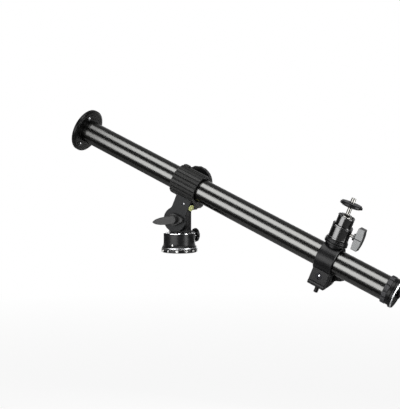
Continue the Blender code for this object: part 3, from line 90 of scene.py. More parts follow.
# Materials
COAT_ROUGHNESS = 0.12
PATCH_SHARE = 0.4
PATTERN_SPAN = (0.3, 0.7)
RELIEF_STRENGTH = 0.5
# Painted shade in grooves and corners: the occlusion test's reach, the least share of the surface's own colour,
# and the shade's colour.
CAVITY_SHADE_REACH = 2.6 * MM
CAVITY_SHADE_FLOOR = 0.03
CAVITY_SHADE_TONE = "#030303"
# How the edges' painted wear, highlight and shade fade in, and their largest share.
EDGE_SPAN = (0.98, 0.85)
EDGE_SHARE = 0.8
# The Mix node's sockets by number, because its float and its colour ones share their names
MIX_A, MIX_B, MIXED = 2, 3, 0
TINT_A, TINT_B, TINTED = 6, 7, 2


def linear(colour: str) -> tuple[float, float, float, float]:
    """Turns an sRGB hex colour into the linear values that a shader takes.

    Args:
        colour: the colour as #RRGGBB.

    Returns:
        Red, green, blue and alpha.
    """
    parts = [int(colour[i:i + 2], 16) / 255 for i in (1, 3, 5)]
    red, green, blue = (v / 12.92 if v <= 0.04045 else ((v + 0.055) / 1.055) ** 2.4 for v in parts)
    return red, green, blue, 1.0


def add_node(tree: bpy.types.NodeTree, kind: str, settings: dict, links: dict) -> bpy.types.Node:
    """Adds a node with its settings and links.

    Args:
        tree: the node tree.
        kind: the node's type name.
        settings: attributes, or input values where the key is an input's name or number.
        links: input name or number to the output socket that feeds it.

    Returns:
        The new node.
    """
    node = tree.nodes.new(kind)
    for key, value in settings.items():
        if isinstance(key, str) and hasattr(node, key):
            setattr(node, key, value)
        else:
            node.inputs[key].default_value = value
    for key, source in links.items():
        tree.links.new(source, node.inputs[key])
    return node


@dataclass(frozen=True)
class Finish:
    """A surface: two close tones that a fine pattern mixes, its gloss, and the relief of the same pattern."""

    name: str
    tone: str
    second: str
    metallic: float
    gloss: tuple[float, float]
    grain_mm: float
    relief_mm: float
    ior: float = 1.5
    grain: Grain = Grain.EVEN
    coat: float = 0.0
    patch_mm: float = 9.0
    # Along the edges: a light tone paints wear and a highlight, a dark one paints shade.
    edge_tone: str = ""
    edge_mm: float = 0.3
    specular: float = 0.5
    # Paints shade into grooves and corners, fading in between the two occlusion values below.
    cavity: bool = False
    cavity_range: tuple[float, float] = (0.45, 0.92)

    def build(self) -> bpy.types.Material:
        """Makes the material, or finds it where it is made already.

        Returns:
            The material.
        """
        made = bpy.data.materials.get(self.name)
        if made:
            return made
        material = bpy.data.materials.new(self.name)
        material.use_nodes = True
        tree = material.node_tree
        shader = tree.nodes["Principled BSDF"]
        plain = {"Metallic": self.metallic, "IOR": self.ior, "Specular IOR Level": self.specular,
                 "Coat Weight": self.coat, "Coat Roughness": COAT_ROUGHNESS}
        for socket, value in plain.items():
            shader.inputs[socket].default_value = value
        fine, pattern = self.build_pattern(tree)
        mixed = add_node(tree, "ShaderNodeMix", {"data_type": "RGBA", TINT_A: linear(self.tone),
                                                 TINT_B: linear(self.second)}, {"Factor": pattern})
        colour = mixed.outputs[TINTED]
        # Paints wear and a highlight along the edges, and shade there where the tone is dark.
        if self.edge_tone:
            colour = self.toned_edges(tree, colour, fine)
        # Painted shade in grooves and corners.
        if self.cavity:
            colour = self.darkened(tree, colour)
        tree.links.new(colour, shader.inputs["Base Color"])
        rough = add_node(tree, "ShaderNodeMapRange",
                         {"From Min": PATTERN_SPAN[0], "From Max": PATTERN_SPAN[1],
                          "To Min": self.gloss[0], "To Max": self.gloss[1]}, {"Value": pattern})
        tree.links.new(rough.outputs["Result"], shader.inputs["Roughness"])
        if self.relief_mm:
            bump = add_node(tree, "ShaderNodeBump",
                            {"Strength": RELIEF_STRENGTH, "Distance": self.relief_mm * MM}, {"Height": fine})
            tree.links.new(bump.outputs["Normal"], shader.inputs["Normal"])
        return material

    def build_pattern(self, tree: bpy.types.NodeTree) -> tuple[bpy.types.NodeSocket, bpy.types.NodeSocket]:
        """Lays fine grain and wide patches over the surface, in the piece's own axes.

        Args:
            tree: the material's nodes.

        Returns:
            The fine grain alone, and the grain mixed with the patches.
        """
        place = add_node(tree, "ShaderNodeTexCoord", {}, {})
        scale = [turns / (self.grain_mm * MM) for turns in self.grain.value]
        laid = add_node(tree, "ShaderNodeMapping", {"Scale": scale}, {"Vector": place.outputs["Object"]})
        fine = add_node(tree, "ShaderNodeTexNoise", {"Scale": 1.0, "Detail": 3.0, "Roughness": 0.6},
                        {"Vector": laid.outputs["Vector"]})
        patches = add_node(tree, "ShaderNodeTexNoise", {"Scale": 1.0 / (self.patch_mm * MM), "Detail": 2.0},
                           {"Vector": place.outputs["Object"]})
        both = add_node(tree, "ShaderNodeMix", {"data_type": "FLOAT", "Factor": PATCH_SHARE},
                        {MIX_A: fine.outputs["Fac"], MIX_B: patches.outputs["Fac"]})
        return fine.outputs["Fac"], both.outputs[MIXED]

    def darkened(self, tree: bpy.types.NodeTree, colour: bpy.types.NodeSocket) -> bpy.types.NodeSocket:
        """Paints shade into a colour in grooves and corners, where little light reaches.

        Args:
            tree: the material's nodes.
            colour: the colour in the open.

        Returns:
            The colour with its painted shade.
        """
        air = add_node(tree, "ShaderNodeAmbientOcclusion", {"samples": 6, "Distance": CAVITY_SHADE_REACH}, {})
        low, high = self.cavity_range
        share = add_node(tree, "ShaderNodeMapRange",
                         {"From Min": low, "From Max": high, "To Min": CAVITY_SHADE_FLOOR, "To Max": 1.0},
                         {"Value": air.outputs["AO"]})
        mixed = add_node(tree, "ShaderNodeMix", {"data_type": "RGBA", TINT_A: linear(CAVITY_SHADE_TONE)},
                         {"Factor": share.outputs["Result"], TINT_B: colour})
        return mixed.outputs[TINTED]

    def toned_edges(self, tree: bpy.types.NodeTree, colour: bpy.types.NodeSocket,
                    pattern: bpy.types.NodeSocket) -> bpy.types.NodeSocket:
        """Tones the colour along edges in a broken line: a light tone paints wear and a highlight, a dark one
        paints shade on rounded edges.

        Args:
            tree: the material's nodes.
            colour: the colour away from the edges.
            pattern: the fine pattern that breaks the line up.

        Returns:
            The colour with its toned edges.
        """
        rounded = add_node(tree, "ShaderNodeBevel", {"samples": 4, "Radius": self.edge_mm * MM}, {})
        surface = add_node(tree, "ShaderNodeNewGeometry", {}, {})
        same = add_node(tree, "ShaderNodeVectorMath", {"operation": "DOT_PRODUCT"},
                        {0: rounded.outputs["Normal"], 1: surface.outputs["Normal"]})
        edge = add_node(tree, "ShaderNodeMapRange",
                        {"From Min": EDGE_SPAN[0], "From Max": EDGE_SPAN[1], "To Min": 0.0,
                         "To Max": EDGE_SHARE}, {"Value": same.outputs["Value"]})
        broken = add_node(tree, "ShaderNodeMath", {"operation": "MULTIPLY"},
                          {0: edge.outputs["Result"], 1: pattern})
        toned = add_node(tree, "ShaderNodeMix", {"data_type": "RGBA", TINT_B: linear(self.edge_tone)},
                         {"Factor": broken.outputs[0], TINT_A: colour})
        return toned.outputs[TINTED]


# Lathe feed, draw lines and blast grit are 0.05 to 0.1 mm in the real finishes, which is far finer than a
# pixel, so each grain is drawn coarser than that, at 0.25 mm and up.

# Drawn, polished and black anodised aluminium: a deep black with long clear reflections and faint draw lines.
POLISHED_ANODISED = Finish("polished_black_anodised", "#575756", "#525251", 1.0, (0.21, 0.24), 0.5, 0.0,
                           grain=Grain.ALONG_X)
# Turned and matt anodised aluminium: black, with a soft sheen and a fine matt grain.
SATIN_ANODISED = Finish("satin_black_anodised", "#0E0E0F", "#141415", 0.0, (0.28, 0.38), 0.35, 0.006,
                        edge_tone="#6A6B6E", specular=0.16, cavity=True)
# Turned aluminium, polished before it was anodised black: nearly a mirror, so it is black with hard glints.
GLOSS_ANODISED = Finish("gloss_black_anodised", "#060606", "#090909", 0.0, (0.15, 0.2), 0.5, 0.0,
                        edge_tone="#8A8B8E", specular=0.95, cavity=True)
# The head flange's anodising, rubbed by plates screwed against it: black with a weaker, wider gloss.
RUBBED_ANODISED = Finish("rubbed_black_anodised", "#080808", "#0C0C0C", 0.0, (0.2, 0.28), 0.4, 0.004,
                         edge_tone="#7A7B7C", specular=0.2, cavity=True)
# Zinc casting under a dark grey powder coat: an even fine orange peel, lighter along its edges from wear and a
# painted highlight.
COATED_CASTING = Finish("powder_coated_casting", "#141516", "#1B1C1D", 0.0, (0.4, 0.52), 0.5, 0.02,
                        edge_tone="#77787A", specular=0.12, cavity=True)
# The lever's coat, polished by the hand: lighter than the bracket's, with painted shade along its rolled edges.
HANDLED_CASTING = Finish("handled_powder_coat", "#212121", "#2B2B2B", 0.0, (0.34, 0.46), 0.5, 0.015,
                         edge_tone="#060606", edge_mm=0.9, specular=0.2, cavity=True)
# The same coat over the collar's ribs: wear and a painted sheen lighten their crowns' edges, and painted shade
# keeps their grooves black.
RIBBED_CASTING = Finish("powder_coated_ribs", "#202020", "#2B2B2A", 0.0, (0.36, 0.46), 0.5, 0.02,
                        edge_tone="#8A8B8D", specular=0.1, cavity=True, cavity_range=(0.7, 0.97))
# Moulded black ABS with a spark-eroded skin: a dull black with a painted highlight on its edges.
MOULDED_ABS = Finish("moulded_abs", "#0B0B0B", "#111111", 0.0, (0.34, 0.46), 0.35, 0.012,
                     edge_tone="#4A4A4B", specular=0.2, cavity=True)
# The paddle's anodised faces, brushed to an even nap: a mid grey sheen, with painted shade on its turned-down
# edges.
BRUSHED_PADDLE = Finish("brushed_anodised_paddle", "#545556", "#5C5D5C", 1.0, (0.34, 0.4), 0.4, 0.003,
                        edge_tone="#040404", edge_mm=1.6, cavity=True)
# Moulded rubber: dark grey, nearly without shine.
RUBBER = Finish("moulded_rubber", "#2E2E30", "#3A3A3C", 0.0, (0.55, 0.7), 0.4, 0.02,
                specular=0.25, cavity=True)
# Turned steel, nickel plated: bright with fine rings from the lathe.
TURNED_STEEL = Finish("nickel_plated_steel", "#6E6D6A", "#7B7A77", 1.0, (0.14, 0.26), 0.25, 0.006,
                      grain=Grain.ROUND_X)
# Steel screw with a black oxide skin: nearly black, with a dull metal shine.
BLACK_OXIDE = Finish("black_oxide_steel", "#1B1B1D", "#232325", 1.0, (0.3, 0.4), 0.3, 0.004,
                     edge_tone="#8B8B8C")
# Bare turned aluminium: light grey with a silky sheen.
BARE_ALUMINIUM = Finish("turned_aluminium", "#ACADAF", "#B4B5B7", 1.0, (0.3, 0.38), 0.25, 0.003)
# Aluminium faced on a lathe and left unpolished: a pale rim that is bright from every side.
FACED_ALUMINIUM = Finish("faced_aluminium", "#B9BABC", "#C9CACB", 1.0, (0.48, 0.58), 0.25, 0.004,
                         grain=Grain.ROUND_X)
# Chromed steel: a mirror with almost no texture.
CHROME = Finish("polished_chrome", "#DCDDDF", "#E4E5E6", 1.0, (0.05, 0.1), 0.8, 0.0)
# Acrylic window over green level fluid: pale green under a wet, hard gloss.
LEVEL_FLUID = Finish("level_fluid", "#CDD57A", "#DCE19A", 0.0, (0.04, 0.08), 1.0, 0.0, coat=1.0)
# Air in the level: a clear bright lens over the fluid.
BUBBLE = Finish("level_bubble_skin", "#E9EDC4", "#F2F4DA", 0.0, (0.04, 0.08), 1.0, 0.0, coat=1.0)
# Paint pressed into engraved marks: white, slightly chalky.
MARK_PAINT = Finish("white_mark_paint", "#D8D8D6", "#E6E6E4", 0.0, (0.5, 0.6), 0.4, 0.004)
# Black velvet over a card: it takes nearly all light, so what reflects it stays black.
FLAG_CLOTH = Finish("black_flag_cloth", "#050505", "#080808", 0.0, (0.8, 0.9), 1.5, 0.1)

SLOT_FINISH = {
    "gloss_black": POLISHED_ANODISED,
    "black_anodised": SATIN_ANODISED,
    "black_satin": SATIN_ANODISED,
    "dark_casting": COATED_CASTING,
    "black_plastic": MOULDED_ABS,
    "rubber": RUBBER,
    "steel": TURNED_STEEL,
    "bright_aluminium": BARE_ALUMINIUM,
    "chrome": CHROME,
    "level_green": LEVEL_FLUID,
}

NODE_FINISH = {
    "head_flange": RUBBED_ANODISED,
    "ball_body": GLOSS_ANODISED,
    "clamp_collar": RIBBED_CASTING,
    "tilt_lever": HANDLED_CASTING,
    "end_screw": BLACK_OXIDE,
    "ball_stem": TURNED_STEEL,
    "ball_socket": GLOSS_ANODISED,
    "ball_lock_paddle": BRUSHED_PADDLE,
    "neck_screw": BLACK_OXIDE,
    "clamp_screw": BLACK_OXIDE,
    "flange_screw_1": CHROME,
    "flange_screw_2": CHROME,
    "flange_screw_3": CHROME,
}


def dress_packed_nodes(edge: float = 0.2 * MM) -> None:
    """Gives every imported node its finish, and rounds and smooths what shows of its facets.

    Args:
        edge: width of the rounding on sharp edges.
    """
    slots = {part["node"]: part["material_slot"] for part in frame["record"]["subparts"]}
    for name, node in frame["nodes"].items():
        node.data.materials.clear()
        node.data.materials.append(NODE_FINISH.get(name, SLOT_FINISH[slots[name]]).build())
        attribute = node.data.attributes.get("custom_normal")
        if attribute:
            node.data.attributes.remove(attribute)
        node.data.shade_smooth()
        weld = node.modifiers.new("weld", "WELD")
        weld.merge_threshold = WELD_REACH
        flat = node.modifiers.new("flat", "DECIMATE")
        flat.decimate_type = "DISSOLVE"
        flat.angle_limit = FLAT_ANGLE
        bevel = node.modifiers.new("edge", "BEVEL")
        bevel.width = edge
        bevel.segments = 2
        bevel.limit_method = "ANGLE"
        bevel.angle_limit = SMOOTH_ANGLE
        weigh = node.modifiers.new("weigh", "WEIGHTED_NORMAL")
        weigh.keep_sharp = False
    LOG.info("dressed %d packed nodes", len(frame["nodes"]))


# Places and meshes
@dataclass(frozen=True)
class Place:
    """A right-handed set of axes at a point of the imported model."""

    origin: Vector
    along: Vector
    across: Vector

    def matrix(self) -> Matrix:
        """Writes the place as a matrix.

        Returns:
            A 4 by 4 matrix with X along, Y across and Z their cross.
        """
        along = self.along.normalized()
        up = along.cross(self.across).normalized()
        turned_axes = Matrix((along, up.cross(along), up)).transposed().to_4x4()
        return Matrix.Translation(self.origin) @ turned_axes


def joint(name: str) -> dict:
    """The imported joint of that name."""
    return next(item for item in frame["joints"] if item["name"] == name)


def tube_place() -> Place:
    """The tube's own axes at the collar."""
    turn = joint("tube_turn")
    return Place(Vector(turn["pos_m"]), Vector(turn["axis"]), BACK)


def node_centre(name: str) -> Vector:
    """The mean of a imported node's vertices."""
    vertices = frame["nodes"][name].data.vertices
    return sum((vertex.co for vertex in vertices), Vector()) / len(vertices)


def measured(name: str, place: Place) -> tuple[Vector, Vector]:
    """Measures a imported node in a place's own axes.

    Args:
        name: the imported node.
        place: the axes to measure along.

    Returns:
        The lowest and the highest corner, in millimetres.
    """
    inverse = place.matrix().inverted()
    points = [inverse @ vertex.co / MM for vertex in frame["nodes"][name].data.vertices]
    low, high = (Vector(pick(point[axis] for point in points) for axis in range(3)) for pick in (min, max))
    return low, high


def finished_mesh(name: str, shape: bmesh.types.BMesh) -> bpy.types.Mesh:
    """Writes a shape out as a mesh and frees it.

    Args:
        name: the mesh's name.
        shape: the shape, which is used up.

    Returns:
        The mesh.
    """
    mesh = bpy.data.meshes.new(name)
    shape.to_mesh(mesh)
    shape.free()
    return mesh


def turned(name: str, profile: Sequence[tuple[float, float, float]], sides: int = SIDES,
           relief: Callable[[float], float] = lambda angle: 0.0) -> bpy.types.Mesh:
    """Makes a solid of revolution about X, which may have a relief round it.

    Args:
        name: the mesh's name.
        profile: stations along X with their radius and their share of the relief, in millimetres.
        sides: number of steps round the axis.
        relief: depth cut below the radius at an angle, in millimetres.

    Returns:
        The closed mesh, smooth except at its real edges.
    """
    shape = bmesh.new()
    rings = []
    for along, radius, share in profile:
        if radius == 0.0:
            rings.append([shape.verts.new((along * MM, 0.0, 0.0))])
            continue
        ring = []
        for i in range(sides):
            angle = 2 * math.pi * i / sides
            reach = (radius - share * relief(angle)) * MM
            ring.append(shape.verts.new((along * MM, reach * math.cos(angle), reach * math.sin(angle))))
        rings.append(ring)
    closed = profile[0][1] and profile[-1][1]
    pairs = list(zip(rings, rings[1:])) + ([(rings[-1], rings[0])] if closed else [])
    for near, far in pairs:
        for i in range(sides):
            corners = [near[i % len(near)], near[(i + 1) % len(near)],
                       far[(i + 1) % len(far)], far[i % len(far)]]
            unique = list(dict.fromkeys(corners))
            if len(unique) > 2:
                shape.faces.new(unique)
    bmesh.ops.recalc_face_normals(shape, faces=shape.faces)
    mesh = finished_mesh(name, shape)
    mesh.shade_smooth()
    mesh.set_sharp_from_angle(angle=SMOOTH_ANGLE)
    return mesh


def put(name: str, data: bpy.types.ID, matrix: Matrix) -> bpy.types.Object:
    """Puts a mesh, lamp or camera into the scene.

    Args:
        name: the object's name.
        data: what the object shows.
        matrix: where it stands.

    Returns:
        The object.
    """
    thing = bpy.data.objects.new(name, data)
    thing.matrix_world = matrix
    bpy.context.scene.collection.objects.link(thing)
    return thing


def stand(mesh: bpy.types.Mesh, place: Place, body: Body, finish: Finish, slot: str,
          *replaced: str) -> None:
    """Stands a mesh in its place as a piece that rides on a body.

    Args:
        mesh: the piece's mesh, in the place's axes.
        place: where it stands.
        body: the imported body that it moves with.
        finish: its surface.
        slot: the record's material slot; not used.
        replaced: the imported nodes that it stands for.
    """
    piece = put(mesh.name, mesh, place.matrix())
    mesh.materials.append(finish.build())
    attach(piece, body.value)
    if replaced:
        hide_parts(*replaced)
    LOG.info("%s: %d faces on %s", mesh.name, len(mesh.polygons), body.value)


def printed(name: str, flat: bpy.types.Mesh, node: str, angle: float, height: float) -> bpy.types.Mesh:
    """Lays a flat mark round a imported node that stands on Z, just proud of its surface.

    Args:
        name: the mark's name.
        flat: the mark, X to the right and Y up.
        node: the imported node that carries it.
        angle: where its middle is, from the front towards +X, in radians.
        height: the height of its middle.

    Returns:
        The bent mark, in the part's own axes.
    """
    data = frame["nodes"][node].data
    tree = BVHTree.FromPolygons([v.co for v in data.vertices], [tuple(p.vertices) for p in data.polygons])
    reach = max(Vector((v.co.x, v.co.y)).length for v in data.vertices)
    for vertex in flat.vertices:
        turn = angle + vertex.co.x / reach
        outward = Vector((math.sin(turn), -math.cos(turn), 0.0))
        start = outward * (2 * reach) + Vector((0.0, 0.0, height + vertex.co.y))
        hit = tree.ray_cast(start, -outward)[0]
        vertex.co = (hit if hit else start) + outward * PRINT_HEIGHT
    flat.name = name
    return flat


def lettering(text: str, height: float, weight: float = 0.14 * MM) -> bpy.types.Mesh:
    """Makes flat lettering, centred on its origin.

    Args:
        text: the characters.
        height: height of the type.
        weight: how far the strokes are thickened.

    Returns:
        The letters as one flat mesh.
    """
    curve = bpy.data.curves.new(text, "FONT")
    curve.body = text
    curve.size = height
    curve.offset = weight
    curve.align_x = "CENTER"
    curve.align_y = "CENTER"
    holder = bpy.data.objects.new(text, curve)
    mesh = bpy.data.meshes.new_from_object(holder)
    bpy.data.objects.remove(holder)
    bpy.data.curves.remove(curve)
    return mesh


def patch(name: str, outline: Sequence[tuple[float, float]]) -> bpy.types.Mesh:
    """Makes a flat mark, split finely enough to bend.

    Args:
        name: the mark's name.
        outline: its corners, in millimetres.

    Returns:
        The flat mesh, X to the right and Y up.
    """
    shape = bmesh.new()
    shape.faces.new([shape.verts.new((x * MM, y * MM, 0.0)) for x, y in outline])
    bmesh.ops.triangulate(shape, faces=shape.faces)
    bmesh.ops.subdivide_edges(shape, edges=shape.edges, cuts=3, use_grid_fill=True)
    return finished_mesh(name, shape)


def bar(name: str, half_width: float, half_height: float) -> bpy.types.Mesh:
    """A flat rectangular mark, from its half width and half height in millimetres."""
    return patch(name, ((-half_width, -half_height), (half_width, -half_height),
                        (half_width, half_height), (-half_width, half_height)))


# Sub-assemblies
@dataclass
class DialBase:
    """The graduated base: painted numerals and ticks, a turned trim ring and the housing's index."""

    numeral_height: float = 4.0 * MM
    numeral_level: float = 2.2 * MM
    numeral_step: int = 30
    dial_turn: float = math.radians(-9.5)
    tick_step: int = 5
    tick_level: float = 4.1 * MM
    tick_half: tuple[float, float] = (0.09, 0.3)
    main_tick_half: tuple[float, float] = (0.14, 0.5)
    index_turn: float = math.radians(3.0)
    index_level: float = 10.2 * MM
    index: tuple[tuple[float, float], ...] = ((0.0, -1.9), (0.9, 0.2), (0.75, 1.3), (0.0, 1.9),
                                              (-0.75, 1.3), (-0.9, 0.2))
    trim_depth: float = 3.0
    trim_groove: float = 0.06
    cut_edge: float = 0.55
    cut_edge_sink: float = 0.1
    cut_edge_proud: float = 0.02
    crown_height: float = 6.0

    def build(self) -> None:
        """Builds the base's marks and its bright rings."""
        floor = Place(Vector(), RIGHT, BACK)
        for degrees in range(0, 360, self.numeral_step):
            numeral = lettering(str(degrees), self.numeral_height)
            turn = self.dial_turn + math.radians(degrees)
            mark = printed(f"dial_numeral_{degrees}", numeral, "dial_disc", turn, self.numeral_level)
            stand(mark, floor, Body.BASE, MARK_PAINT, "black_anodised")
        for degrees in range(0, 360, self.tick_step):
            half = self.tick_half if degrees % self.numeral_step else self.main_tick_half
            tick = bar(f"dial_tick_{degrees}", *half)
            turn = self.dial_turn + math.radians(degrees)
            mark = printed(tick.name, tick, "dial_disc", turn, self.tick_level)
            stand(mark, floor, Body.BASE, MARK_PAINT, "black_anodised")
        index = patch("housing_index", self.index)
        mark = printed(index.name, index, "pan_housing", self.index_turn, self.index_level)
        stand(mark, floor, Body.PAN, MARK_PAINT, "black_satin")
        post = Place(Vector(), UP, BACK)
        self.build_cut_edge(post)
        self.build_trim(post)

    def build_cut_edge(self, post: Place) -> None:
        """Turns the housing's diamond-cut top edge.

        Args:
            post: the place with X up the pan axis.
        """
        top = measured("pan_housing", post)[1].x
        inverse = post.matrix().inverted()
        housing = [inverse @ vertex.co / MM for vertex in frame["nodes"]["pan_housing"].data.vertices]
        outer = max(math.hypot(point.y, point.z) for point in housing
                    if top - self.crown_height < point.x < top)
        cut, sink, proud = self.cut_edge, self.cut_edge_sink, self.cut_edge_proud
        edge = [(top - 2 * cut, outer - sink, 0), (top - 2 * cut, outer + proud, 0),
                (top - cut, outer + proud, 0), (top + proud, outer - cut, 0),
                (top + proud, outer - 2 * cut, 0), (top - sink, outer - 2 * cut, 0)]
        stand(turned("housing_cut_edge", edge, FINE_SIDES), post, Body.PAN, CHROME, "bright_aluminium")

    def build_trim(self, post: Place) -> None:
        """Turns the bright ring with its fine groove.

        Args:
            post: the place with X up the pan axis.
        """
        low, high = measured("dial_trim_ring", post)
        bottom, top, outer = low.x, high.x, high.y
        inner, middle, cut = outer - self.trim_depth, (bottom + top) / 2, self.trim_groove
        ring = [(bottom, inner, 0), (bottom, outer - cut, 0), (bottom + cut, outer, 0),
                (middle - cut, outer, 0), (middle, outer - cut, 0), (middle + cut, outer, 0),
                (top - cut, outer, 0), (top, outer - cut, 0), (top, inner, 0)]
        stand(turned("trim_ring", ring), post, Body.BASE, BARE_ALUMINIUM, "bright_aluminium",
              "dial_trim_ring")


@dataclass
class ScrewPoints:
    """Bright chrome points in the two front screws' sockets, put there to give each socket a glint."""

    radius_share: float = 0.4
    depth: float = 0.4
    sink: float = 0.7
    rise: float = 0.35
    shoulder: tuple[float, float] = (0.7, 0.6)

    def build(self) -> None:
        """Builds a bright point in each socket."""
        self.build_point("neck_screw", -BACK, Body.BRACKET)
        self.build_point("clamp_screw", -Vector(joint("ring_lock_turn")["axis"]), Body.RING_LOCK)

    def build_point(self, node: str, along: Vector, body: Body) -> None:
        """Builds the bright point of one screw.

        Args:
            node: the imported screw.
            along: the direction that its head faces.
            body: the body that it moves with.
        """
        middle_place = Place(node_centre(node), along, RIGHT)
        low, high = measured(node, middle_place)
        middle = (low + high) / 2
        place = Place(middle_place.matrix() @ Vector((0.0, middle.y * MM, middle.z * MM)), along, RIGHT)
        radius = (high.y - low.y) / 2 * self.radius_share
        face = high.x - self.sink
        up, inward = self.shoulder
        point = [(face - self.depth, 0.0, 0), (face - self.depth, radius, 0), (face, radius, 0),
                 (face + self.rise * up, radius * inward, 0), (face + self.rise, 0.0, 0)]
        # A chrome point placed to give the socket its glint.
        stand(turned(f"{node}_point", point, COARSE_SIDES), place, body, CHROME, "steel")


@dataclass
class RoundLevel:
    """The round level: a domed window, its ring mark and the bubble, in millimetres and radians."""

    turn: float = math.radians(18.0)
    window_share: float = 0.985
    dome_rise: float = 0.5
    dome_lip: float = 0.2
    dome_angles: tuple[float, ...] = (0.15, 0.45, 0.8, 1.1, 1.35)
    mark_proud: float = 0.02
    mark_depth: float = 0.3
    ring_radius: float = 2.3
    ring_wire: float = 0.16
    bubble_radius: float = 1.35
    bubble_offset: tuple[float, float] = (0.7, 0.5)
    bubble_form: tuple[tuple[float, float], ...] = ((-0.35, 0.0), (-0.3, 1.0), (-0.08, 0.8), (0.0, 0.4),
                                                    (0.02, 0.0))

    def build(self) -> None:
        """Builds the level in its cup."""
        along = tube_place().along.normalized() * math.cos(self.turn) - BACK * math.sin(self.turn)
        place = Place(node_centre("level_vial"), along, BACK)
        low, high = measured("level_vial", place)
        rim, radius = high.x - self.dome_rise, high.z * self.window_share
        window = [(low.x, 0.0, 0), (low.x, radius, 0), (rim - self.dome_lip, radius, 0)]
        window += [(rim + self.dome_rise * math.sin(angle), radius * math.cos(angle), 0)
                   for angle in self.dome_angles]
        window.append((high.x, 0.0, 0))
        stand(turned("level_window", window), place, Body.BRACKET, LEVEL_FLUID, "level_green", "level_vial")
        top = high.x + self.mark_proud
        self.build_marks(place, top)

    def build_marks(self, place: Place, top: float) -> None:
        """Lays the ring mark and the bubble on the window.

        Args:
            place: the level's axes, X out of the window.
            top: height of the marks along X, in millimetres.
        """
        foot = top - self.mark_depth
        inner, outer = self.ring_radius - self.ring_wire, self.ring_radius + self.ring_wire
        mark = [(foot, inner, 0), (foot, outer, 0), (top, outer, 0), (top, inner, 0)]
        stand(turned("level_ring_mark", mark, COARSE_SIDES), place, Body.BRACKET, MOULDED_ABS,
              "black_plastic")
        across, up = self.bubble_offset
        moved = place.matrix() @ Vector((0.0, across * MM, up * MM))
        bubble = [(top + rise, self.bubble_radius * share, 0) for rise, share in self.bubble_form]
        stand(turned("level_bubble", bubble, COARSE_SIDES), Place(moved, place.along, place.across),
              Body.BRACKET, BUBBLE, "level_green")


@dataclass
class TubeEnd:
    """The arm's low end: the padded grip ring, and the end plate with its polished rim."""

    pads: int = 14
    pad_share: float = 0.78
    pad_depth: float = 1.0
    pad_sides: int = 24
    ribs: int = 3
    rib_depth: float = 0.22
    grip_wall: float = 1.9
    grip_edge: float = 0.5
    grip_edge_relief: float = 0.6
    plate_edge: float = 0.3
    plate_face: tuple[tuple[float, float], ...] = ((-1.3, 1.3), (-1.2, 0.0), (-0.05, 0.0), (-0.15, -0.6),
                                                   (-0.3, -0.9))
    rim_depth: float = 1.15
    rim_width: float = 0.8
    rim_face: float = 0.45
    rim_gap: float = 0.02

    def relief(self, angle: float) -> float:
        """Gives the depth of the grip ring's pattern.

        Args:
            angle: where on the ring, round the tube, in radians.

        Returns:
            The depth below the pads' crowns, in millimetres.
        """
        turn = (angle * self.pads / (2 * math.pi)) % 1.0
        if turn > self.pad_share:
            return self.pad_depth
        across = turn / self.pad_share
        return self.rib_depth * (0.5 - 0.5 * math.cos(2 * math.pi * self.ribs * across))

    def build(self) -> None:
        """Builds the grip ring and the end plate."""
        tube = tube_place()
        self.build_grip(tube)
        self.build_plate(tube)

    def build_grip(self, tube: Place) -> None:
        """Moulds the padded grip ring.

        Args:
            tube: the tube's axes.
        """
        low, high = measured("end_grip_ring", tube)
        outer, cut, eased = high.y, self.grip_edge, self.grip_edge_relief
        inner = outer - self.grip_wall
        grip = [(low.x, inner, 0), (low.x, outer - cut, eased), (low.x + cut, outer, 1),
                (high.x - cut, outer, 1), (high.x, outer - cut, eased), (high.x, inner, 0)]
        mesh = turned("grip_ring", grip, self.pads * self.pad_sides, self.relief)
        stand(mesh, tube, Body.TUBE, RUBBER, "rubber", "end_grip_ring")

    def build_plate(self, tube: Place) -> None:
        """Turns the end plate with its stepped face, and the bright rim on its step.

        Args:
            tube: the tube's axes.
        """
        low, high = measured("end_flange", tube)
        end, outer, edge = high.x, high.y, self.plate_edge
        step, step_height = self.plate_face[0]
        seat = outer - step_height
        plate = [(low.x, 0.0, 0), (low.x, outer - edge, 0), (low.x + edge, outer, 0), (end + step, outer, 0)]
        plate += [(end + along, seat + out, 0) for along, out in self.plate_face[1:]]
        plate.append((plate[-1][0], 0.0, 0))
        stand(turned("end_plate", plate, FINE_SIDES), tube, Body.TUBE, SATIN_ANODISED, "black_anodised",
              "end_flange")
        inner = seat + self.rim_gap
        rim = [(end - self.rim_depth, inner, 0), (end - self.rim_depth, outer, 0),
               (end - self.rim_width, outer, 0), (end, seat + self.rim_face, 0), (end, inner, 0)]
        stand(turned("end_plate_rim", rim, FINE_SIDES), tube, Body.TUBE, FACED_ALUMINIUM, "chrome")


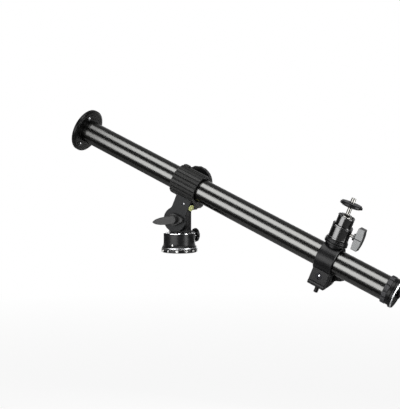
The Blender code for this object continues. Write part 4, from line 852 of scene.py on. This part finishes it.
@dataclass
class BallHead:
    """The mini ball head: its turned body with fine grooves, and a strip of painted shade at the paddle's waist.
    """

    groove_depth: float = 0.25
    groove_at: tuple[float, ...] = (0.12, 0.9)
    edge: float = 0.6
    # The strip of painted shade at the paddle's waist: how far proud, its share of the paddle's length, and its
    # width.
    waist_proud: float = 0.03
    waist_share: float = 0.86
    waist_width: float = 1.1

    def build(self) -> None:
        """Builds the body and the waist line."""
        ring = joint("ring_turn")
        back = Vector(joint("ring_lock_turn")["axis"])
        up = Vector(ring["axis"]).cross(back)
        place = Place(Vector(ring["pos_m"]), up, back)
        low, high = measured("ball_body", place)
        radius, deep, edge = high.y, self.groove_depth, self.edge
        body = [(low.x, 0.0, 0), (low.x, radius - edge, 0), (low.x + edge, radius, 0)]
        for share in self.groove_at:
            at = low.x + share * (high.x - low.x)
            body += [(at - deep, radius, 0), (at, radius - deep, 0), (at + deep, radius, 0)]
        body += [(high.x - edge, radius, 0), (high.x, radius - edge, 0), (high.x, 0.0, 0)]
        stand(turned("ball_head_body", body, FINE_SIDES), place, Body.RING, GLOSS_ANODISED, "black_satin",
              "ball_body")
        self.build_waist(up, back)

    def build_waist(self, up: Vector, back: Vector) -> None:
        """Lays a dark strip of painted shade across the paddle's front face, where its two lobes meet.

        Args:
            up: the ball head's axis.
            back: the direction away from the front.
        """
        arm = Vector(joint("ball_lock_turn")["axis"])
        place = Place(node_centre("ball_lock_paddle"), arm, back)
        low, high = measured("ball_lock_paddle", place)
        middle = (low + high) / 2
        spot = place.matrix() @ (Vector((middle.x, low.y - self.waist_proud, middle.z)) * MM)
        # A dark strip of painted shade in the crease between the paddle's lobes.
        line = bar("paddle_waist_shade", (high.x - low.x) * self.waist_share / 2, self.waist_width / 2)
        stand(line, Place(spot, arm, up), Body.BALL_LOCK, MOULDED_ABS, "black_plastic")


# Studio
@dataclass
class Studio:
    """Camera, floor, soft boxes and the pale surroundings, in metres and degrees."""

    eye: tuple[float, float, float] = (0.5848, -1.0353, 0.1377)
    azimuth: float = 28.07
    elevation: float = 3.54
    lens_mm: float = 78.26
    sensor_mm: float = 36.0
    shift_pixels: float = 0.5
    box_distance: float = 0.9
    box_along: float = -0.24
    box_length: float = 0.96
    front_span: tuple[float, float] = (-27.5, 10.0)
    top_span: tuple[float, float] = (50.0, 88.5)
    back_span: tuple[float, float] = (182.0, 206.0)
    back_share: float = 0.45
    radiance: float = 6.4
    strip_azimuth: tuple[float, float] = (70.0, 98.0)
    strip_levels: tuple[float, float] = (-0.3, 0.5)
    strip_steps: int = 4
    strip_radiance: float = 13.0
    flag_span: tuple[float, float] = (-70.0, -35.0)
    flag_distance: float = 0.36
    flag_reach: tuple[float, float] = (-1.1, 0.32)
    flag_steps: int = 8
    floor_height: float = -0.45
    floor_size: float = 40.0
    floor_tone: str = "#F2F2F2"
    floor_mirrored_tone: str = "#9C9C9C"
    floor_roughness: float = 0.9
    floor_fade: tuple[float, float] = (1.0, 2.4)
    floor_glow: tuple[float, float] = (0.88, 1.0)
    world_depth: tuple[float, float] = (0.0, 0.5)
    world_depth_level: tuple[float, float] = (0.02, 1.0)
    world_height: tuple[float, float] = (0.1, 0.6)
    world_height_level: tuple[float, float] = (1.0, 0.25)
    world_diffuse_level: float = 0.16

    def build(self, tube: Place) -> None:
        """Builds the whole studio.

        Args:
            tube: the place of the tube, which the soft boxes lie along.
        """
        self.build_camera()
        self.build_floor()
        self.build_world()
        self.build_soft_box("front_soft_box", tube, self.front_span)
        self.build_soft_box("top_soft_box", tube, self.top_span)
        self.build_soft_box("back_soft_box", tube, self.back_span, self.back_share)
        self.build_flag(tube)
        self.build_strip()
        LOG.info("studio: camera, floor, three soft boxes, a strip and a flag")

    def build_camera(self) -> None:
        """Places the camera at the photograph's viewing angle."""
        data = bpy.data.cameras.new("camera")
        data.sensor_fit = "HORIZONTAL"
        data.sensor_width = self.sensor_mm
        data.lens = self.lens_mm
        data.shift_x = -self.shift_pixels / PICTURE_WIDTH
        data.shift_y = self.shift_pixels / PICTURE_WIDTH
        turn, lift = math.radians(self.azimuth), math.radians(self.elevation)
        forward = Vector((-math.sin(turn) * math.cos(lift), math.cos(turn) * math.cos(lift), -math.sin(lift)))
        right = Vector((math.cos(turn), math.sin(turn), 0.0))
        axes = Matrix((right, right.cross(forward), -forward)).transposed().to_4x4()
        bpy.context.scene.camera = put("camera", data, Matrix.Translation(self.eye) @ axes)

    def build_floor(self) -> None:
        """Lays the pale floor well below the held part, and fades it into the white background."""
        shape = bmesh.new()
        bmesh.ops.create_grid(shape, x_segments=1, y_segments=1, size=self.floor_size)
        mesh = finished_mesh("floor", shape)
        floor = put("floor", mesh, Matrix.Translation((0.0, 0.0, self.floor_height)))
        material = bpy.data.materials.new("pale_floor")
        material.use_nodes = True
        tree = material.node_tree
        shader = tree.nodes["Principled BSDF"]
        shader.inputs["Roughness"].default_value = self.floor_roughness
        path = add_node(tree, "ShaderNodeLightPath", {}, {})
        pale = add_node(tree, "ShaderNodeMix",
                        {"data_type": "RGBA", TINT_A: linear(self.floor_tone),
                         TINT_B: linear(self.floor_mirrored_tone)}, {"Factor": path.outputs["Is Glossy Ray"]})
        tree.links.new(pale.outputs[TINTED], shader.inputs["Base Color"])
        place = add_node(tree, "ShaderNodeTexCoord", {}, {})
        away = add_node(tree, "ShaderNodeVectorMath", {"operation": "LENGTH"}, {0: place.outputs["Object"]})
        fade = add_node(tree, "ShaderNodeMapRange",
                        {"From Min": self.floor_fade[0], "From Max": self.floor_fade[1],
                         "To Min": self.floor_glow[0], "To Max": self.floor_glow[1]},
                        {"Value": away.outputs["Value"]})
        share = add_node(tree, "ShaderNodeMath", {"operation": "MULTIPLY"},
                         {0: path.outputs["Is Camera Ray"], 1: fade.outputs["Result"]})
        glow = add_node(tree, "ShaderNodeEmission", {"Color": linear("#FFFFFF"), "Strength": 1.0}, {})
        mix = add_node(tree, "ShaderNodeMixShader", {},
                       {"Fac": share.outputs[0], 1: shader.outputs["BSDF"], 2: glow.outputs["Emission"]})
        tree.links.new(mix.outputs["Shader"], tree.nodes["Material Output"].inputs["Surface"])
        mesh.materials.append(material)

    def build_world(self) -> None:
        """Makes the surroundings: white to the camera, and in reflections pale behind and dark in front."""
        world = bpy.data.worlds.new("studio")
        world.use_nodes = True
        bpy.context.scene.world = world
        tree = world.node_tree
        tree.nodes.clear()
        path = add_node(tree, "ShaderNodeLightPath", {}, {})
        place = add_node(tree, "ShaderNodeTexCoord", {}, {})
        split = add_node(tree, "ShaderNodeSeparateXYZ", {}, {"Vector": place.outputs["Generated"]})
        back = add_node(tree, "ShaderNodeMapRange",
                        {"From Min": self.world_depth[0], "From Max": self.world_depth[1],
                         "To Min": self.world_depth_level[0], "To Max": self.world_depth_level[1]},
                        {"Value": split.outputs["Y"]})
        high = add_node(tree, "ShaderNodeMapRange",
                        {"From Min": self.world_height[0], "From Max": self.world_height[1],
                         "To Min": self.world_height_level[0], "To Max": self.world_height_level[1]},
                        {"Value": split.outputs["Z"]})
        seen = add_node(tree, "ShaderNodeMath", {"operation": "MULTIPLY"},
                        {0: back.outputs["Result"], 1: high.outputs["Result"]})
        shiny = add_node(tree, "ShaderNodeMath", {"operation": "MAXIMUM"},
                         {0: path.outputs["Is Glossy Ray"], 1: path.outputs["Is Transmission Ray"]})
        level = add_node(tree, "ShaderNodeMix", {"data_type": "FLOAT", MIX_A: self.world_diffuse_level},
                         {"Factor": shiny.outputs[0], MIX_B: seen.outputs[0]})
        strength = add_node(tree, "ShaderNodeMix", {"data_type": "FLOAT", MIX_B: 1.0},
                            {"Factor": path.outputs["Is Camera Ray"], MIX_A: level.outputs[MIXED]})
        background = add_node(tree, "ShaderNodeBackground", {"Color": linear("#FFFFFF")},
                              {"Strength": strength.outputs[MIXED]})
        output = add_node(tree, "ShaderNodeOutputWorld", {}, {})
        tree.links.new(background.outputs["Background"], output.inputs["Surface"])

    def build_soft_box(self, name: str, tube: Place, span: tuple[float, float], share: float = 1.0) -> None:
        """Hangs a long soft box along the tube.

        Args:
            name: the lamp's name.
            tube: the place of the tube.
            span: the angles round the tube that the box covers, from the front and upwards, in degrees.
            share: its brightness beside the front box's.
        """
        middle = math.radians(sum(span) / 2)
        half = math.radians((span[1] - span[0]) / 2)
        data = bpy.data.lights.new(name, "AREA")
        data.shape = "RECTANGLE"
        data.size = self.box_length
        data.size_y = 2 * self.box_distance * math.tan(half)
        data.energy = share * self.radiance * math.pi * data.size * data.size_y
        away = UP * math.sin(middle) - BACK * math.cos(middle)
        local = Matrix((RIGHT, RIGHT.cross(away), away)).transposed().to_4x4()
        local.translation = RIGHT * self.box_along + away * self.box_distance
        lamp = put(name, data, tube.matrix() @ local)
        lamp.visible_camera = False

    def build_strip(self) -> None:
        """Stands a lit strip at the right, which draws a narrow line on each upright barrel."""
        low, high = (math.radians(angle) for angle in self.strip_azimuth)
        angles = [low + (high - low) * i / self.strip_steps for i in range(self.strip_steps + 1)]
        points = [Vector((math.sin(angle), -math.cos(angle), level)) * self.box_distance
                  for angle in angles for level in self.strip_levels]
        material = bpy.data.materials.new("lit_strip")
        material.use_nodes = True
        tree = material.node_tree
        glow = add_node(tree, "ShaderNodeEmission",
                        {"Color": linear("#FFFFFF"), "Strength": self.strip_radiance}, {})
        tree.links.new(glow.outputs["Emission"], tree.nodes["Material Output"].inputs["Surface"])
        self.build_card("strip", points, material, Matrix())

    def build_flag(self, tube: Place) -> None:
        """Hangs a black card below the front soft box, which keeps the tube's low side dark.

        Args:
            tube: the place of the tube.
        """
        low, high = (math.radians(angle) for angle in self.flag_span)
        angles = [low + (high - low) * i / self.flag_steps for i in range(self.flag_steps + 1)]
        rim = [(UP * math.sin(angle) - BACK * math.cos(angle)) * self.flag_distance for angle in angles]
        points = [spot + RIGHT * end for spot in rim for end in self.flag_reach]
        self.build_card("flag", points, FLAG_CLOTH.build(), tube.matrix())

    def build_card(self, name: str, points: Sequence[Vector], material: bpy.types.Material,
                   matrix: Matrix) -> None:
        """Hangs a curved card that nothing but reflections sees.

        Args:
            name: the card's name.
            points: its corners, in pairs from one side to the other.
            material: its surface.
            matrix: where it hangs.
        """
        quads = [(i, i + 1, i + 3, i + 2) for i in range(0, len(points) - 2, 2)]
        mesh = bpy.data.meshes.new(name)
        mesh.from_pydata(points, [], quads)
        mesh.materials.append(material)
        card = put(name, mesh, matrix)
        card.visible_camera = False
        card.visible_diffuse = False
        card.visible_shadow = False
        card.visible_transmission = False


def main() -> None:
    """Builds the looks in order."""
    logging.basicConfig(level=logging.INFO)
    bpy.context.scene.view_settings.view_transform = "Standard"
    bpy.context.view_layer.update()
    dress_packed_nodes()
    DialBase().build()
    ScrewPoints().build()
    RoundLevel().build()
    TubeEnd().build()
    BallHead().build()
    Studio().build(tube_place())


if __name__ == "__main__":
    main()
